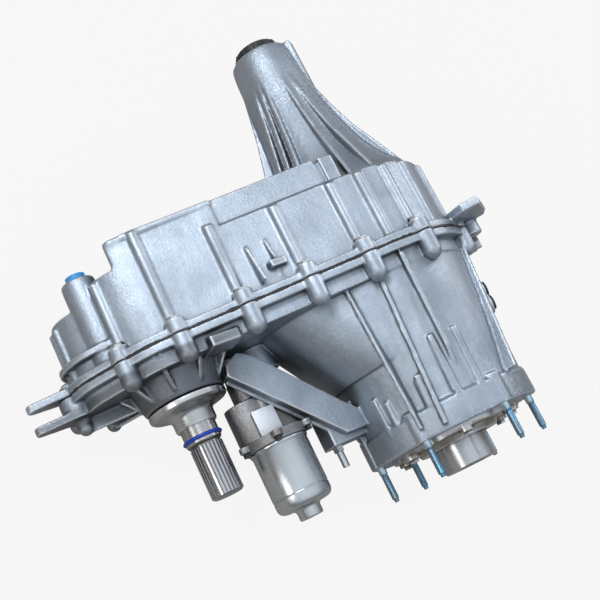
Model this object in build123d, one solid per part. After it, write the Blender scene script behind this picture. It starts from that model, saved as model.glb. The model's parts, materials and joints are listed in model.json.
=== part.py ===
from build123d import *

import os
from math import acos, atan2, cos, degrees, hypot, pi, radians, sin, sqrt

# Two-speed transfer case with a chain drive to the front output.
# Millimetres. Y runs along the shafts, from the input face at zero to the tail, and Z is up.
# The case lies on its side on its flange and bell, with the front output towards -X.

# Chain drive: the centre distance follows from whole links
chain_pitch = 9.525
chain_links = 92
sprocket_teeth = 36
chain_width = 28.0
chain_start = 214.0
chain_clear = 3.2
chain_thickness = 4.8
sprocket_recess = 6.0
sprocket_web_radius = 42.0
sprocket_hub = 12.0
centre_distance = (chain_links - sprocket_teeth) / 2 * chain_pitch
output_drop = 33.5
output_axis = (-sqrt(centre_distance**2 - output_drop**2), -output_drop)
main_axis = (0.0, 0.0)

# Cast case: walls, split line and flange
split_y = 203.0
gasket_thickness = 1.0
gasket_setback = 0.4
gasket_clear = 0.5
wall = 6.5
main_radius = 106.0
output_radius = 70.0
lobe_centre = (-322.0, -48.0)
lobe_radius = 42.0
flange_reach = 11.0
flange_thickness = 9.0
front_wall_y = 178.0
rear_wall_y = 298.0
raised_wall_y = 330.0
raised_inset = 3.0
raised_step = -184.0
raised_right = -60.0
raised_left = -341.0
raised_slant = 108.0
raised_cut_z = (-160.0, 140.0)
raised_pocket = ((-118.0, -14.0, 62.0), (-236.0, -24.0, 40.0))
lobe_wall_y = 281.0
front_face_y = split_y - gasket_thickness / 2
rear_face_y = split_y + gasket_thickness / 2

# Sloping shoulder between the bell and the chain chamber
shoulder_spot = (-85.0, -11.0)
shoulder_radius = 80.0
shoulder_start = 92.0
shoulder_inset = 2.0
shoulder_neck_spot = (-14.0, -2.0)
shoulder_neck_step = 4.0

# Bell end of the front case
bell_radius = 102.0
bell_collar = 28.0
bell_step = 3.5
gear_bore_radius = 92.0
bell_rib_thickness = 5.0
bell_rib_height = 10.0
bell_rib_spans = {
    103.0: (50, 190),
    139.0: (9, 178),
    215.0: (20, 150),
    250.0: (12, 190),
    290.0: (12, 190),
    330.0: (32, 190),
}
slanted_rib_spans = {(68.0, 45.0): (30, 192), (125.0, 120.0): (6, 170)}
slanted_rib_rise = 4.0
bell_bead_radius = 3.6
bell_bead_spans = {94.5: (29, 93), 111.0: (31, 94), 129.0: (28, 62), 153.0: (26, 57), 161.0: (18, 46)}
web_thickness = 24.0

# Studs to the gearbox
stud_circle = 187.5
stud_count = 6
stud_first_angle = 22.5
stud_radius = 4.0
stud_reach = 41.0
stud_depth = 20.0
stud_seat_radius = 4.8
stud_boss_radius = 10.5
stud_boss_length = 34.0

# Split-line bolts
bolt_radius = 4.0
bolt_out = 6.0
column_radius = 8.5
column_length = 31.0
lobe_column_length = 42.0
bolt_hole_depth = 23.0
bolt_engagement = 20.0
rear_boss_height = 11.0
bolt_head_height = 7.0
bolt_head_width = 13.0
bolt_flange_radius = 8.5
bolt_flange_thickness = 1.8
main_bolt_angles = (42.0, 84.0, 0.0, -48.0, -92.0)
top_bolt_shares = (0.11, 0.37, 0.65, 0.94)
bottom_bolt_shares = (0.1, 0.38, 0.66, 0.94)
output_bolt_angle = 143.0
lobe_bolt_angles = (200.0, 262.0)
bead_radius = 6.0
bead_sink = 1.5
bead_setback = 4.0
top_bead_ends = (rear_wall_y - 3, rear_wall_y - 3, rear_wall_y + 4, raised_wall_y - 3)
main_bead_angles = (121.0, 103.0, 85.0, 68.0, 42.0, 0.0, -48.0)
lobe_bead_angles = (168.0, 188.0)

# Strut and pads of the front case
strut_outline = (
    (-222, 164), (-205, 173), (-190, 165), (-116, 82), (-96, 62), (-96, 46), (-126, 47), (-226, 152)
)
strut_bottom = -3.0
strut_thickness = 11.0
strut_foot_x = (-142.0, -92.0)
strut_foot_y = (40.0, 80.0)
strut_foot_bottom = -34.0
front_pad = ((-246, -212), (175, 187), (20, 57))

# Pry ears, side lug and small details at the split line
ear_root = (-369.0, -58.0)
ear_root_radius = 17.0
ear_tip = (-410.0, -64.0)
ear_tip_radius = 8.0
ear_thickness = 9.0
front_ear_y = 178.0
lug_outline = ((62, 86), (71, 116), (88, 128), (117, 97), (126, 80), (100, 62))
lug_y = 209.0
lug_thickness = 10.0
lip_y = 226.0
lip_thickness = 7.0
lip_reach = 10.0
gusset_block = (-147.0, 233.0, 80.0)
gusset_block_half = (9.5, 4.0)
gusset_root = 20.0
gusset_thickness = 3.0
gusset_lead = 14.0
gusset_run = 30.0
gusset_fins = {0.0: 0.0, -22.0: -4.0}

# Tail housing
tail_end_y = 518.0
tail_end_radius = 37.5
tail_rib_thickness = 5.0
tail_lean_angle = 62.0
tail_stations = (
    (296.0, 23.0, 80.0),
    (318.0, 17.0, 71.0),
    (349.0, 10.0, 61.0),
    (380.0, 6.5, 54.0),
    (413.0, 3.5, 48.5),
    (453.0, 1.0, 43.5),
    (505.0, 0.0, 39.5),
    (tail_end_y, 0.0, tail_end_radius),
)
tail_rib_lift = 26.0
tail_lift_angle = 72.0
tail_rib_edge = (
    (296, 78, 1.0),
    (345, 68, 0.55),
    (380, 60, 0.25),
    (420, 51, 0.1),
    (455, 45, 0.0),
    (490, 39, 0.0),
)
tail_spine_angle = 42.0
tail_spine_start = 440.0
tail_spine_reach = 45.0
tail_spine_width = 17.0
tail_pad = ((-52, -34), (296, 330), (58, 92))
tail_rib_angles = (53.0, 88.0, 104.0, 137.0, 148.0, 161.0, 205.0, 245.0, 285.0, 325.0, 8.0)

# Clearances
slip = 0.05
running = 0.05
case_gap = 0.3
cut_reach = 600.0

# Input shaft and planetary gear set
gear_module = 2.5
sun_teeth = 35
planet_teeth = 13
annulus_teeth = sun_teeth + 2 * planet_teeth
planet_count = 3
gear_start = 51.0
gear_width = 26.0
planet_circle = (sun_teeth + planet_teeth) * gear_module / 2
planet_pin_radius = 6.0
tooth_addendum = 0.9
tooth_dedendum = 1.2
tooth_tip_share = 0.096
tooth_root_share = 0.30
carrier_plate = 6.0
carrier_rim = 6.0
carrier_front = gear_start - 1 - case_gap - carrier_plate
carrier_rear = gear_start + gear_width + 1 + case_gap
bridge_radius = 7.0
input_hub_radius = 31.0
input_hub_end = -41.0
input_hub_face = -2.0
input_hub_chamfer = 1.5
input_spline_radius = 17.0
input_spline_floor = 22.0
input_spline_teeth = 24
input_tooth_height = 2.4
input_tooth_width = 2.0
input_drain_radius = 8.0
input_shoulder = 4.0
input_seal_radius = input_hub_radius + 9
input_seal_face = -5.5
input_bearing_y = 3.0
input_bearing_width = 20.0
input_bearing_radius = 47.5
input_journal_radius = 30.0
bearing_lip = 5.0
clutch_radius = 29.9
clutch_web_step = 3.0
clutch_ring_length = 23.0
pilot_radius = 14.0
pilot_depth = 18.0
shield_depth = 1.0
bearing_wall = 7.0

# Retainer of the input bearing
retainer_radius = 78.0
retainer_gap = 4.0
retainer_nose = -12.0
retainer_nose_width = 16.0
retainer_rim = -5.0
retainer_seal_floor = -7.0
retainer_lugs = 6
retainer_lug_circle = 70.0
retainer_lug_radius = 9.0
retainer_lug_face = -9.0
retainer_bolt_radius = 3.0
retainer_bolt_slack = 0.2
retainer_bolt_head = 5.0

# Range sleeve, fork and shift cam
sleeve_radius = 42.0
sleeve_start = 94.0
sleeve_length = 30.0
sleeve_middle = sleeve_start + sleeve_length / 2
sleeve_groove = 8.0
sleeve_groove_depth = 5.0
fork_travel = 7.0
fork_depth = 9.0
fork_bar_x = (-22.0, -12.0)
fork_bar_z = (-84.0, -76.0)
rail_spot = (4.0, -74.0)
rail_radius = 7.0
rail_start = 86.0
rail_end = 172.0
rail_seat = 8.0
rail_eye_wall = 4.0
cam_spot = (-170.0, -36.0)
cam_radius = 14.0
cam_y = 195.0
cam_front = 24.0
cam_rear = 16.0
cam_boss_wall = 10.0
cam_bore_clear = 3.0
cam_turn = 45.0
cam_gear_radius = 21.5
cam_shaft_radius = 7.0
pin_radius = 3.0
groove_width = 10.0
groove_depth = 4.5

# Main shaft, clutch and bearings
main_shaft_radius = 22.0
rear_bearing_y = 304.0
rear_bearing_width = 20.0
rear_bearing_radius = 40.0
rear_journal_radius = 20.0
main_spline_radius = 17.0
main_spline_start = 384.0
main_spline_end = 476.0
range_hub_length = 26.0
snap_ring_width = 2.0
snap_ring_height = 4.0
clutch_drum_radius = 56.0
clutch_start = 138.0
clutch_length = 42.0
clutch_grooves = 5
clutch_groove_width = 3.0
clutch_groove_depth = 5.0
ramp_radius = 44.0
ramp_width = 10.0
ramp_arm_root = (-40.0, 8.0)
ramp_arm_half = 6.0
ramp_tip_z = -18.0

# Oil pump, pickup and magnet
pump_y = 250.0
pump_width = 22.0
pump_radius = 48.0
pump_arm_angle = 250.0
pump_arm_width = 14.0
pickup_angle = 290.0
pickup_y = 258.0
pickup_clear = 14.0
pickup_pipe_radius = 5.0
pickup_half_size = (13.0, 12.0, 5.0)
magnet_angle = 250.0
magnet_shift = (6.0, 12.0)
magnet_radius = 9.0
magnet_thickness = 6.0

# Front output shaft
output_spline_radius = 18.2
output_spline_end = 41.0
output_spline_length = 60.0
output_splines = 28
output_tooth_height = 2.6
output_tooth_width = 2.0
output_journal_radius = 20.0
output_bearing_radius = 36.0
output_bearing_y = 158.0
output_bearing_width = 20.0
output_boss_radius = 46.0
output_boss_y = 150.5
output_boss_flare = 8.0
boss_rib_count = 10
boss_rib_turn = 8.0
boss_rib_thickness = 4.5
lobe_web_y = 162.0
slinger_radius = 44.5
slinger_start = 121.0
slinger_face = 139.0
slinger_end = output_boss_y - 1
slinger_collar = 3.0
slinger_sheet = 1.6
oring_start = 5.0
oring_width = 3.0
oring_groove = 1.2
oring_stand = 0.3
rear_needle_radius = 15.0
needle_wall = 6.0
needle_y = 262.0
needle_width = 22.0

# Shift motor
motor_spot = (-194.8, -20.0)
motor_can_radius = 32.0
motor_can_end = -4.0
motor_can_start = 68.0
motor_hub_radius = 13.5
motor_hub_length = 12.7
can_sheet = 2.0
can_corner = 4.0
can_flange = 3.0
armature_ys = (-12.0, 6.0, 52.0)
armature_radius = 24.0
gearbox_front = 68.0
gearbox_rear = 150.0
gearbox_bolt_spots = ((-152.0, -62.0), (-192.0, -66.0))
gearbox_bolt_radius = 3.0
gearbox_lug_radius = 8.0
gearbox_bolt_head = 5.0
motor_flange_thickness = 10.0
motor_screw_count = 5
motor_screw_turn = 36.0
motor_screw_head = 4.2
motor_lug_y = 72.0
motor_lug_radius = 6.0
gearbox_step_y = 124.0
gearbox_low_hull = ((-172.0, -36.0, 27.0), (-209.0, -30.0, 22.0))
gearbox_high_hull = ((-176.0, -36.0, 22.0), (-196.0, -30.0, 20.0))
gearbox_column_spot = (-194.0, -15.0)
gearbox_column_radius = 8.5
gearbox_column_end = 142.0
gearbox_plate = ((-214, -194), (80, 108), (-30, -6))
connector_spot = (-169.0, -60.0)
connector_half = 8.0
connector_wall = 2.5
connector_y = 48.0
connector_pad = ((-180, -160), (68.3, 79), (-70, -48))
motor_screw_radius = 2.0
armature_neck = 6.0
pinion_radius = 7.5
cam_gear_y = 108.0
cam_gear_width = 12.0
cam_shaft_tail = 14.0

# Dowels, plugs and sensor
dowel_radius = 4.0
dowel_half = 8.0
dowel_main_angle = 22.0
dowel_output_angle = 116.0
plug_angle = 24.0
plug_radius = 8.0
plug_places = (133.0, 115.0)
plug_seat = main_radius + 2
plug_head_radius = 8.8
detent_angle = 35.0
detent_radius = 6.0
detent_seat = 122.0
detent_y = 182.0
sensor_seat = 66.0
port_spot = (-327.0, -16.0)
port_radius = 19.0
port_top = 312.0
port_depth = 22.0
port_plug_radius = 9.0
sensor_angle = 265.0
sensor_radius = 7.0
sensor_y = 342.0
tone_radius = 29.0
tone_width = 8.0
tone_slots = 20
tone_slot_depth = 3.0
tone_slot_width = 4.0
vent_spot = (-132.0, -20.0)
vent_end = 16.0
vent_radius = 4.0
vent_hex_half = 5.5
vent_hex_height = 6.0

# Tail fittings
seal_radius = 32.0
yoke_radius = 24.0
seal_depth = 14.0
bushing_length = 40.0
bushing_step = 5.0
rear_plug_radius = 28.0
plug_reach = 14.0
plug_rib_count = 12
plug_rib_radius = 1.2


def along_y(face, start, end):
    """Extrudes a face drawn in X and Z from one Y to another."""
    plane = Plane(origin=(0, start, 0), x_dir=(1, 0, 0), z_dir=(0, -1, 0))
    return extrude(plane * face, amount=start - end)


def turned(points, spot=main_axis):
    """Turns a profile of (y, radius) points round an axis along Y."""
    profile = make_face(Polyline([(radius, y) for y, radius in points], close=True))
    return Pos(spot[0], 0, spot[1]) * revolve(profile, Axis.Y)


def rod(start, end, radius, spot=main_axis):
    return Pos(spot[0], (start + end) / 2, spot[1]) * Rot(90, 0, 0) * Cylinder(radius, abs(end - start))


def tube(start, end, outer, inner, spot=main_axis):
    return rod(start, end, outer, spot) - rod(start - 1, end + 1, inner, spot)


def block(x_span, y_span, z_span):
    size = [high - low for low, high in (x_span, y_span, z_span)]
    middle = [(high + low) / 2 for low, high in (x_span, y_span, z_span)]
    return Pos(*middle) * Box(*size)


def on_circle(spot, radius, angle):
    return (spot[0] + radius * cos(radians(angle)), spot[1] + radius * sin(radians(angle)))


def tangents(first, second):
    """Angles, in degrees, of the two outer tangent points shared by two circles (x, z, radius)."""
    run = hypot(second[0] - first[0], second[1] - first[1])
    heading = degrees(atan2(second[1] - first[1], second[0] - first[0]))
    lean = degrees(acos((first[2] - second[2]) / run))
    return heading, heading - lean, heading + lean


def hull_face(first, second):
    """The outline that a band would take round two circles (x, z, radius)."""
    heading, one, other = tangents(first, second)
    ends = [[on_circle(c[:2], c[2], a) for a in (one, other)] for c in (first, second)]
    far = on_circle(second[:2], second[2], heading)
    near = on_circle(first[:2], first[2], heading + 180)
    return make_face(
        [
            Line(ends[0][0], ends[1][0]),
            ThreePointArc(ends[1][0], far, ends[1][1]),
            Line(ends[1][1], ends[0][1]),
            ThreePointArc(ends[0][1], near, ends[0][0]),
        ]
    )


def main_circle(grow=0.0):
    return (*main_axis, main_radius + grow)


def output_circle(grow=0.0):
    return (*output_axis, output_radius + grow)


def lobe_circle(grow=0.0):
    return (*lobe_centre, lobe_radius + grow)


def case_outline(grow=0.0):
    return hull_face(main_circle(grow), output_circle(grow)) + lobe_outline(grow)


def lobe_outline(grow=0.0):
    return hull_face(output_circle(grow), lobe_circle(grow))


def bolt_spots():
    """Centres of the split-line bolts, spaced round the flange."""
    spots = [on_circle(main_axis, main_radius + bolt_out, angle) for angle in main_bolt_angles]
    _, one, other = tangents(main_circle(bolt_out), output_circle(bolt_out))
    for angle, shares in ((one, top_bolt_shares), (other, bottom_bolt_shares)):
        start = on_circle(main_axis, main_radius + bolt_out, angle)
        end = on_circle(output_axis, output_radius + bolt_out, angle)
        spots += [tuple(a + (b - a) * share for a, b in zip(start, end)) for share in shares]
    spots.append(on_circle(output_axis, output_radius + bolt_out, output_bolt_angle))
    spots += [on_circle(lobe_centre, lobe_radius + bolt_out, angle) for angle in lobe_bolt_angles]
    return spots


def radial_rib(angle, points, thickness, spot=main_axis):
    """A flat rib standing out from an axis along Y, drawn as (radius, y) points."""
    profile = make_face(Polyline(points, close=True))
    rib = extrude(profile, amount=thickness / 2, both=True)
    return Pos(spot[0], 0, spot[1]) * Rot(0, -angle, 0) * rib


def gear_face(teeth, module, inside=False):
    """A gear outline with straight-sided teeth, thinned for backlash."""
    pitch_radius = teeth * module / 2
    side = -1 if inside else 1
    tip_radius = pitch_radius + side * tooth_addendum * module
    root_radius = pitch_radius - side * tooth_dedendum * module
    tip_half = tooth_tip_share * 360 / teeth
    root_half = tooth_root_share * 360 / teeth
    points = []
    for tooth in range(teeth):
        middle = tooth * 360 / teeth
        for radius, offset in (
            (root_radius, -root_half),
            (tip_radius, -tip_half),
            (tip_radius, tip_half),
            (root_radius, root_half),
        ):
            points.append(on_circle(main_axis, radius, middle + offset))
    return make_face(Polyline(points, close=True))


def skirt(grow, start, end):
    """The sloping shoulder between the bell and the chain chamber, which holds the shift parts."""
    neck = bell_radius - shoulder_neck_step + grow
    narrow = hull_face((*main_axis, neck), (*shoulder_neck_spot, neck - shoulder_neck_step))
    wide = hull_face(main_circle(grow - shoulder_inset), (*shoulder_spot, shoulder_radius + grow))
    sections = []
    for y, face in ((start, narrow), (end, wide)):
        sections.append(Plane(origin=(0, y, 0), x_dir=(1, 0, 0), z_dir=(0, -1, 0)) * face)
    return loft(sections, ruled=True)


def slanted_rib(angles, span, low, high, thickness):
    """A straight rib on the bell that runs from one angle to another between two Y values."""
    middle = sum(angles) / 2
    length = span[1] - span[0]
    tilt = degrees(atan2(radians(angles[1] - angles[0]) * high, length))
    rib = Rot(tilt, 0, 0) * Box(high - low, length / cos(radians(tilt)), thickness)
    return Rot(0, -middle, 0) * Pos((low + high) / 2, sum(span) / 2, 0) * rib


def ball_bar(start, end, radius, spot):
    """A round bar along Y with ball ends."""
    bar = rod(start + radius, end - radius, radius, spot)
    for y in (start + radius, end - radius):
        bar += Pos(spot[0], y, spot[1]) * Sphere(radius)
    return bar


def front_columns():
    """Ball-ended columns that the split-line bolts screw into."""
    columns = Part()
    spots = bolt_spots()
    for number, spot in enumerate(spots):
        on_lobe = number >= len(spots) - len(lobe_bolt_angles)
        length = lobe_column_length if on_lobe else column_length
        columns += ball_bar(front_face_y - length, front_face_y + column_radius, column_radius, spot)
    return columns & block((-cut_reach, cut_reach), (0, front_face_y), (-cut_reach, cut_reach))


def bell_ribs():
    """Stiffening ribs along the bell, from the flange to the collar, the last three of them slanting."""
    low = bell_radius - bell_step - 1
    foot = gear_bore_radius + wall / 2
    ribs = Part()
    for angle, (start, end) in bell_rib_spans.items():
        points = [
            (foot, start),
            (low, start),
            (low + bell_rib_height, start + 30),
            (main_radius + bell_rib_height - 2, end),
            (foot, end),
        ]
        ribs += radial_rib(angle, points, bell_rib_thickness)
    for angles, span in slanted_rib_spans.items():
        ribs += slanted_rib(angles, span, foot, main_radius + slanted_rib_rise, bell_rib_thickness)
    return ribs


def bell_beads():
    """Short round bars cast side by side on the bell."""
    bars = Part()
    for angle, (start, end) in bell_bead_spans.items():
        spot = on_circle(main_axis, bell_radius - bell_step + 0.6, angle)
        bars += ball_bar(start, end, bell_bead_radius, spot)
    return bars


def strut():
    """Flat-topped brace from the output boss to the bell, with the block under its end."""
    outline = make_face(Polyline(strut_outline, close=True))
    brace = Pos(0, 0, strut_bottom) * extrude(outline, amount=strut_thickness)
    return brace + block(strut_foot_x, strut_foot_y, (strut_foot_bottom, strut_bottom))


def output_boss():
    """Cone round the front output bearing, with radial ribs back to the chamber wall."""
    root_y = front_wall_y + 2
    boss = turned(
        [
            (output_boss_y, 0),
            (output_boss_y, output_boss_radius - 2),
            (output_boss_y + 2, output_boss_radius),
            (root_y, output_boss_radius + output_boss_flare),
            (root_y, 0),
        ],
        output_axis,
    )
    inner = output_boss_radius - 4
    outer = output_radius - 3
    for rib in range(boss_rib_count):
        points = [
            (inner, output_boss_y + 5),
            (output_boss_radius + 1, output_boss_y + 5),
            (outer, front_wall_y),
            (outer, root_y),
            (inner, root_y),
        ]
        angle = boss_rib_turn + rib * 360 / boss_rib_count
        boss += radial_rib(angle, points, boss_rib_thickness, output_axis)
    for angle in lobe_bolt_angles:
        end = on_circle(lobe_centre, lobe_radius, angle)
        boss += rounded_bar(output_axis, end, boss_rib_thickness / 2, (lobe_web_y, root_y))
    return boss


def rounded_bar(start, end, half_width, span):
    """A bar with a round end, seen along Y, between two Y values."""
    run = hypot(end[0] - start[0], end[1] - start[1])
    turn = degrees(atan2(end[1] - start[1], end[0] - start[0]))
    middle = ((start[0] + end[0]) / 2, (start[1] + end[1]) / 2)
    face = Pos(*middle) * Rot(0, 0, turn) * SlotCenterToCenter(run, 2 * half_width)
    return along_y(face, *span)


def pry_ear(start, end):
    """A tapered lug beside the lobe, where a lever parts the two cases."""
    return along_y(hull_face((*ear_root, ear_root_radius), (*ear_tip, ear_tip_radius)), start, end)


def stud_spots():
    step = 360 / stud_count
    angles = [stud_first_angle + stud * step for stud in range(stud_count)]
    return [on_circle(main_axis, stud_circle / 2, angle) for angle in angles]


def front_case():
    shell = turned(
        [
            (0, 0),
            (0, bell_radius),
            (bell_collar, bell_radius),
            (bell_collar + bell_step, bell_radius - bell_step),
            (front_wall_y, main_radius - 1),
            (front_face_y, main_radius),
            (front_face_y, 0),
        ]
    )
    shell += skirt(0, shoulder_start, front_wall_y + 2)
    shell += along_y(case_outline(), front_wall_y, front_face_y)
    shell += along_y(case_outline(flange_reach), front_face_y - flange_thickness, front_face_y)
    shell += output_boss()
    shell += front_columns()
    shell += bell_ribs()
    shell += bell_beads()
    shell += strut()
    shell += rod(gearbox_rear, front_wall_y + 1, cam_radius + cam_boss_wall, cam_spot)
    for spot in gearbox_bolt_spots:
        shell += rod(gearbox_rear, front_wall_y + 1, gearbox_lug_radius + 1, spot)
    for y in plug_places:
        shell += radial_rod(plug_angle, gear_bore_radius + 2, plug_seat, plug_radius + 5, y)
    shell += radial_rod(detent_angle, gear_bore_radius + 3, detent_seat, detent_radius + 3, detent_y)
    shell += pry_ear(front_ear_y, front_ear_y + ear_thickness)
    shell += rod(front_ear_y, front_face_y, ear_root_radius, ear_root)
    shell += block(*front_pad)
    for spot in stud_spots():
        shell += rod(0, stud_boss_length, stud_boss_radius, spot)

    lip = input_bearing_radius - bearing_lip
    seat = input_bearing_radius + slip
    shell -= turned(
        [
            (-1, 0),
            (-1, lip),
            (input_bearing_y - 0.5, lip),
            (input_bearing_y - 0.5, seat),
            (web_thickness, seat),
            (web_thickness, gear_bore_radius),
            (front_face_y + 1, gear_bore_radius),
            (front_face_y + 1, 0),
        ]
    )
    shell -= skirt(-wall, shoulder_start + wall, front_wall_y + 2)
    shell -= along_y(case_outline(-wall), front_wall_y + wall, front_face_y + 1)

    shell += rail_boss()
    shell += output_bearing_seat()
    shell -= rod(output_boss_y - 1, front_face_y, output_bearing_radius + slip, output_axis)
    shell -= rod(gearbox_rear - 1, front_face_y, cam_radius + cam_bore_clear, cam_spot)
    for y in plug_places:
        shell -= radial_rod(plug_angle, gear_bore_radius - 2, plug_seat + 20, plug_radius + slip, y)
        shell -= radial_rod(plug_angle, plug_seat, plug_seat + 20, plug_head_radius + case_gap, y)
    shell -= radial_rod(detent_angle, gear_bore_radius - 2, detent_seat + 20, detent_radius + slip, detent_y)
    for spot in bolt_spots():
        shell -= rod(front_face_y - bolt_hole_depth, front_face_y + 1, bolt_radius + slip, spot)
    for spot in gearbox_bolt_spots:
        shell -= rod(gearbox_rear - 1, front_wall_y - 6, gearbox_bolt_radius + slip, spot)
    for spot in dowel_spots():
        shell -= rod(front_face_y - dowel_half - 1, split_y, dowel_radius + slip, spot)
    for spot in stud_spots():
        shell -= rod(-1, stud_depth + 0.5, stud_seat_radius + slip, spot)
    return shell


def rail_boss():
    """Two eyes on the bell wall that carry the ends of the fork rail."""
    reach = hypot(*rail_spot)
    angle = degrees(atan2(rail_spot[1], rail_spot[0]))
    root = gear_bore_radius + wall
    eyes = Part()
    for start, end in ((rail_start, rail_start + rail_seat), (rail_end - rail_seat, rail_end)):
        points = [(reach, start), (root, start), (root, end), (reach, end)]
        eyes += radial_rib(angle, points, 2 * rail_radius)
        eyes += rod(start, end, rail_radius + rail_eye_wall, rail_spot)
    return eyes - rod(rail_start - 1, rail_end + 1, rail_radius + slip, rail_spot)


def output_bearing_seat():
    """Ring inside the chamber wall that the front output bearing sits in."""
    return rod(output_boss_y + 2, front_wall_y + wall, output_bearing_radius + bearing_wall, output_axis)


def tail():
    """Flared tail housing with thin ribs, set off towards the top where it meets the cover."""
    sections = []
    for y, lean, radius in tail_stations:
        plane = Plane(origin=(0, y, 0), x_dir=(1, 0, 0), z_dir=(0, -1, 0))
        sections.append(plane * Pos(*on_circle(main_axis, lean, tail_lean_angle)) * Circle(radius))
    flare = loft(sections)
    heart = 20.0
    for angle in tail_rib_angles:
        lift = tail_rib_lift * max(0.0, cos(radians(angle - tail_lift_angle)))
        points = [(radius + share * lift, y) for y, radius, share in tail_rib_edge]
        points += [(heart, tail_rib_edge[-1][0]), (heart, tail_rib_edge[0][0])]
        flare += radial_rib(angle, points, tail_rib_thickness)
    spine = [
        (heart, tail_spine_start),
        (tail_end_radius + 2, tail_spine_start),
        (tail_spine_reach, tail_spine_start + 12),
        (tail_spine_reach, tail_end_y),
        (heart, tail_end_y),
    ]
    return flare + radial_rib(tail_spine_angle, spine, tail_spine_width)


def raised_cover():
    """The deeper part of the cover behind the chain, set in on its right and cut off slanting on its left."""
    start = rear_wall_y - 1
    bottom, top = raised_cut_z
    slant = raised_left + raised_slant
    corners = [(raised_right, top), (raised_step, top), (raised_step, bottom), (raised_right, bottom)]
    inset_part = make_face(Polyline(corners, close=True))
    corners = [(raised_step + 1, top), (raised_left, top), (slant, bottom), (raised_step + 1, bottom)]
    flush_part = make_face(Polyline(corners, close=True))
    inset = along_y(case_outline(-raised_inset), start, raised_wall_y)
    inset &= along_y(inset_part, start - 1, raised_wall_y + 1)
    flush = along_y(case_outline(), start, raised_wall_y) & along_y(flush_part, start - 1, raised_wall_y + 1)
    return inset + flush


def beads():
    """Half-round beads along the cover, in line with the flange bolts."""
    bars = Part()
    start = rear_face_y + flange_thickness - 1
    tops = bolt_spots()[len(main_bolt_angles) : len(main_bolt_angles) + len(top_bolt_shares)]
    for spot, end in zip(tops, top_bead_ends):
        bars += rod(start, end, bead_radius, (spot[0], spot[1] - bolt_out - bead_sink))
    for angle in main_bead_angles:
        spot = on_circle(main_axis, main_radius - bead_sink, angle)
        bars += rod(start, rear_wall_y - bead_setback, bead_radius, spot)
    output_bead = on_circle(output_axis, output_radius - bead_sink, output_bolt_angle)
    bars += rod(start, rear_wall_y - bead_setback, bead_radius, output_bead)
    for angle in lobe_bead_angles:
        spot = on_circle(lobe_centre, lobe_radius - bead_sink, angle)
        bars += rod(start, lobe_wall_y - 1.5 * bead_setback, bead_radius, spot)
    return bars


def top_gussets():
    """The small block on the top of the cover, with thin fins beside and behind it."""
    x, y, height = gusset_block
    half_x, half_y = gusset_block_half
    root = height - gusset_root
    pad = block((x - half_x, x + half_x), (y - half_y, y + half_y), (root, height))
    for shift, reach in gusset_fins.items():
        points = [
            (root, y - gusset_lead),
            (height + 2 + reach, y - gusset_lead),
            (height - 8 + reach, y + gusset_run),
            (root, y + gusset_run),
        ]
        pad += radial_rib(90, points, gusset_thickness, (x + shift, 0))
    return pad


def port_boss():
    """Tall round boss on the lobe, closed by the small shipping plug."""
    return rod(rear_face_y + 4, port_top, port_radius, port_spot)


def rear_case():
    shell = along_y(hull_face(main_circle(), output_circle()), rear_face_y, rear_wall_y)
    shell += along_y(lobe_outline(), rear_face_y, lobe_wall_y)
    shell += along_y(case_outline(flange_reach), rear_face_y, rear_face_y + flange_thickness)
    shell += along_y(hull_face(output_circle(-8), lobe_circle(lip_reach)), lip_y, lip_y + lip_thickness)
    shell += raised_cover()
    shell += tail()
    shell += beads()
    shell += top_gussets()
    shell += port_boss()
    shell += radial_rod(sensor_angle, 40, sensor_seat, sensor_radius + 5, sensor_y)
    shell += pry_ear(rear_face_y, rear_face_y + ear_thickness)
    shell += along_y(make_face(Polyline(lug_outline, close=True)), lug_y, lug_y + lug_thickness)
    shell += block(*tail_pad)
    seat = rear_face_y + rear_boss_height
    for spot in bolt_spots():
        shell += rod(rear_face_y, seat, column_radius, spot)

    shell -= along_y(hull_face(main_circle(-wall), output_circle(-wall)), rear_face_y - 1, rear_wall_y - wall)
    shell -= along_y(hull_face(output_circle(-wall), lobe_circle(-wall)), rear_face_y - 1, lobe_wall_y - wall)
    shell -= along_y(hull_face(*raised_pocket), rear_wall_y - wall - 1, raised_wall_y - wall)

    boss_start = rear_bearing_y - 14
    boss_bore = rear_bearing_radius - 6
    boss_outer = rear_bearing_radius + 9
    shell += tube(boss_start, rear_wall_y, boss_outer, boss_bore)
    needle_outer = rear_needle_radius + needle_wall
    shell += tube(needle_y, rear_wall_y - wall + 1, needle_outer + 7, rear_needle_radius + 2, output_axis)
    bushing_seat = seal_radius - bushing_step + slip
    seal_start = tail_end_y - seal_depth
    bushing_start = seal_start - bushing_length
    bearing_end = rear_bearing_y + rear_bearing_width
    shell -= turned(
        [
            (boss_start - 1, 0),
            (boss_start - 1, rear_bearing_radius + slip),
            (bearing_end, rear_bearing_radius + slip),
            (bearing_end, rear_bearing_radius - 4),
            (bushing_start - 9, rear_bearing_radius - 7),
            (bushing_start, bushing_seat),
            (seal_start, bushing_seat),
            (seal_start, seal_radius + slip),
            (tail_end_y + 1, seal_radius + slip),
            (tail_end_y + 1, 0),
        ]
    )
    shell -= rod(needle_y - 1, needle_y + needle_width + 2, needle_outer + slip, output_axis)
    shell -= rod(port_top - port_depth, port_top + 1, port_plug_radius, port_spot)
    for spot in bolt_spots():
        shell -= rod(rear_face_y - 1, seat + 1, bolt_radius + slip, spot)
        shell -= rod(seat, seat + bolt_head_height + 2, bolt_flange_radius + case_gap, spot)
    for spot in dowel_spots():
        shell -= rod(split_y, rear_face_y + dowel_half + 1, dowel_radius + slip, spot)
    shell -= radial_rod(sensor_angle, 30, 120, sensor_radius + slip, sensor_y)
    return shell


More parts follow.
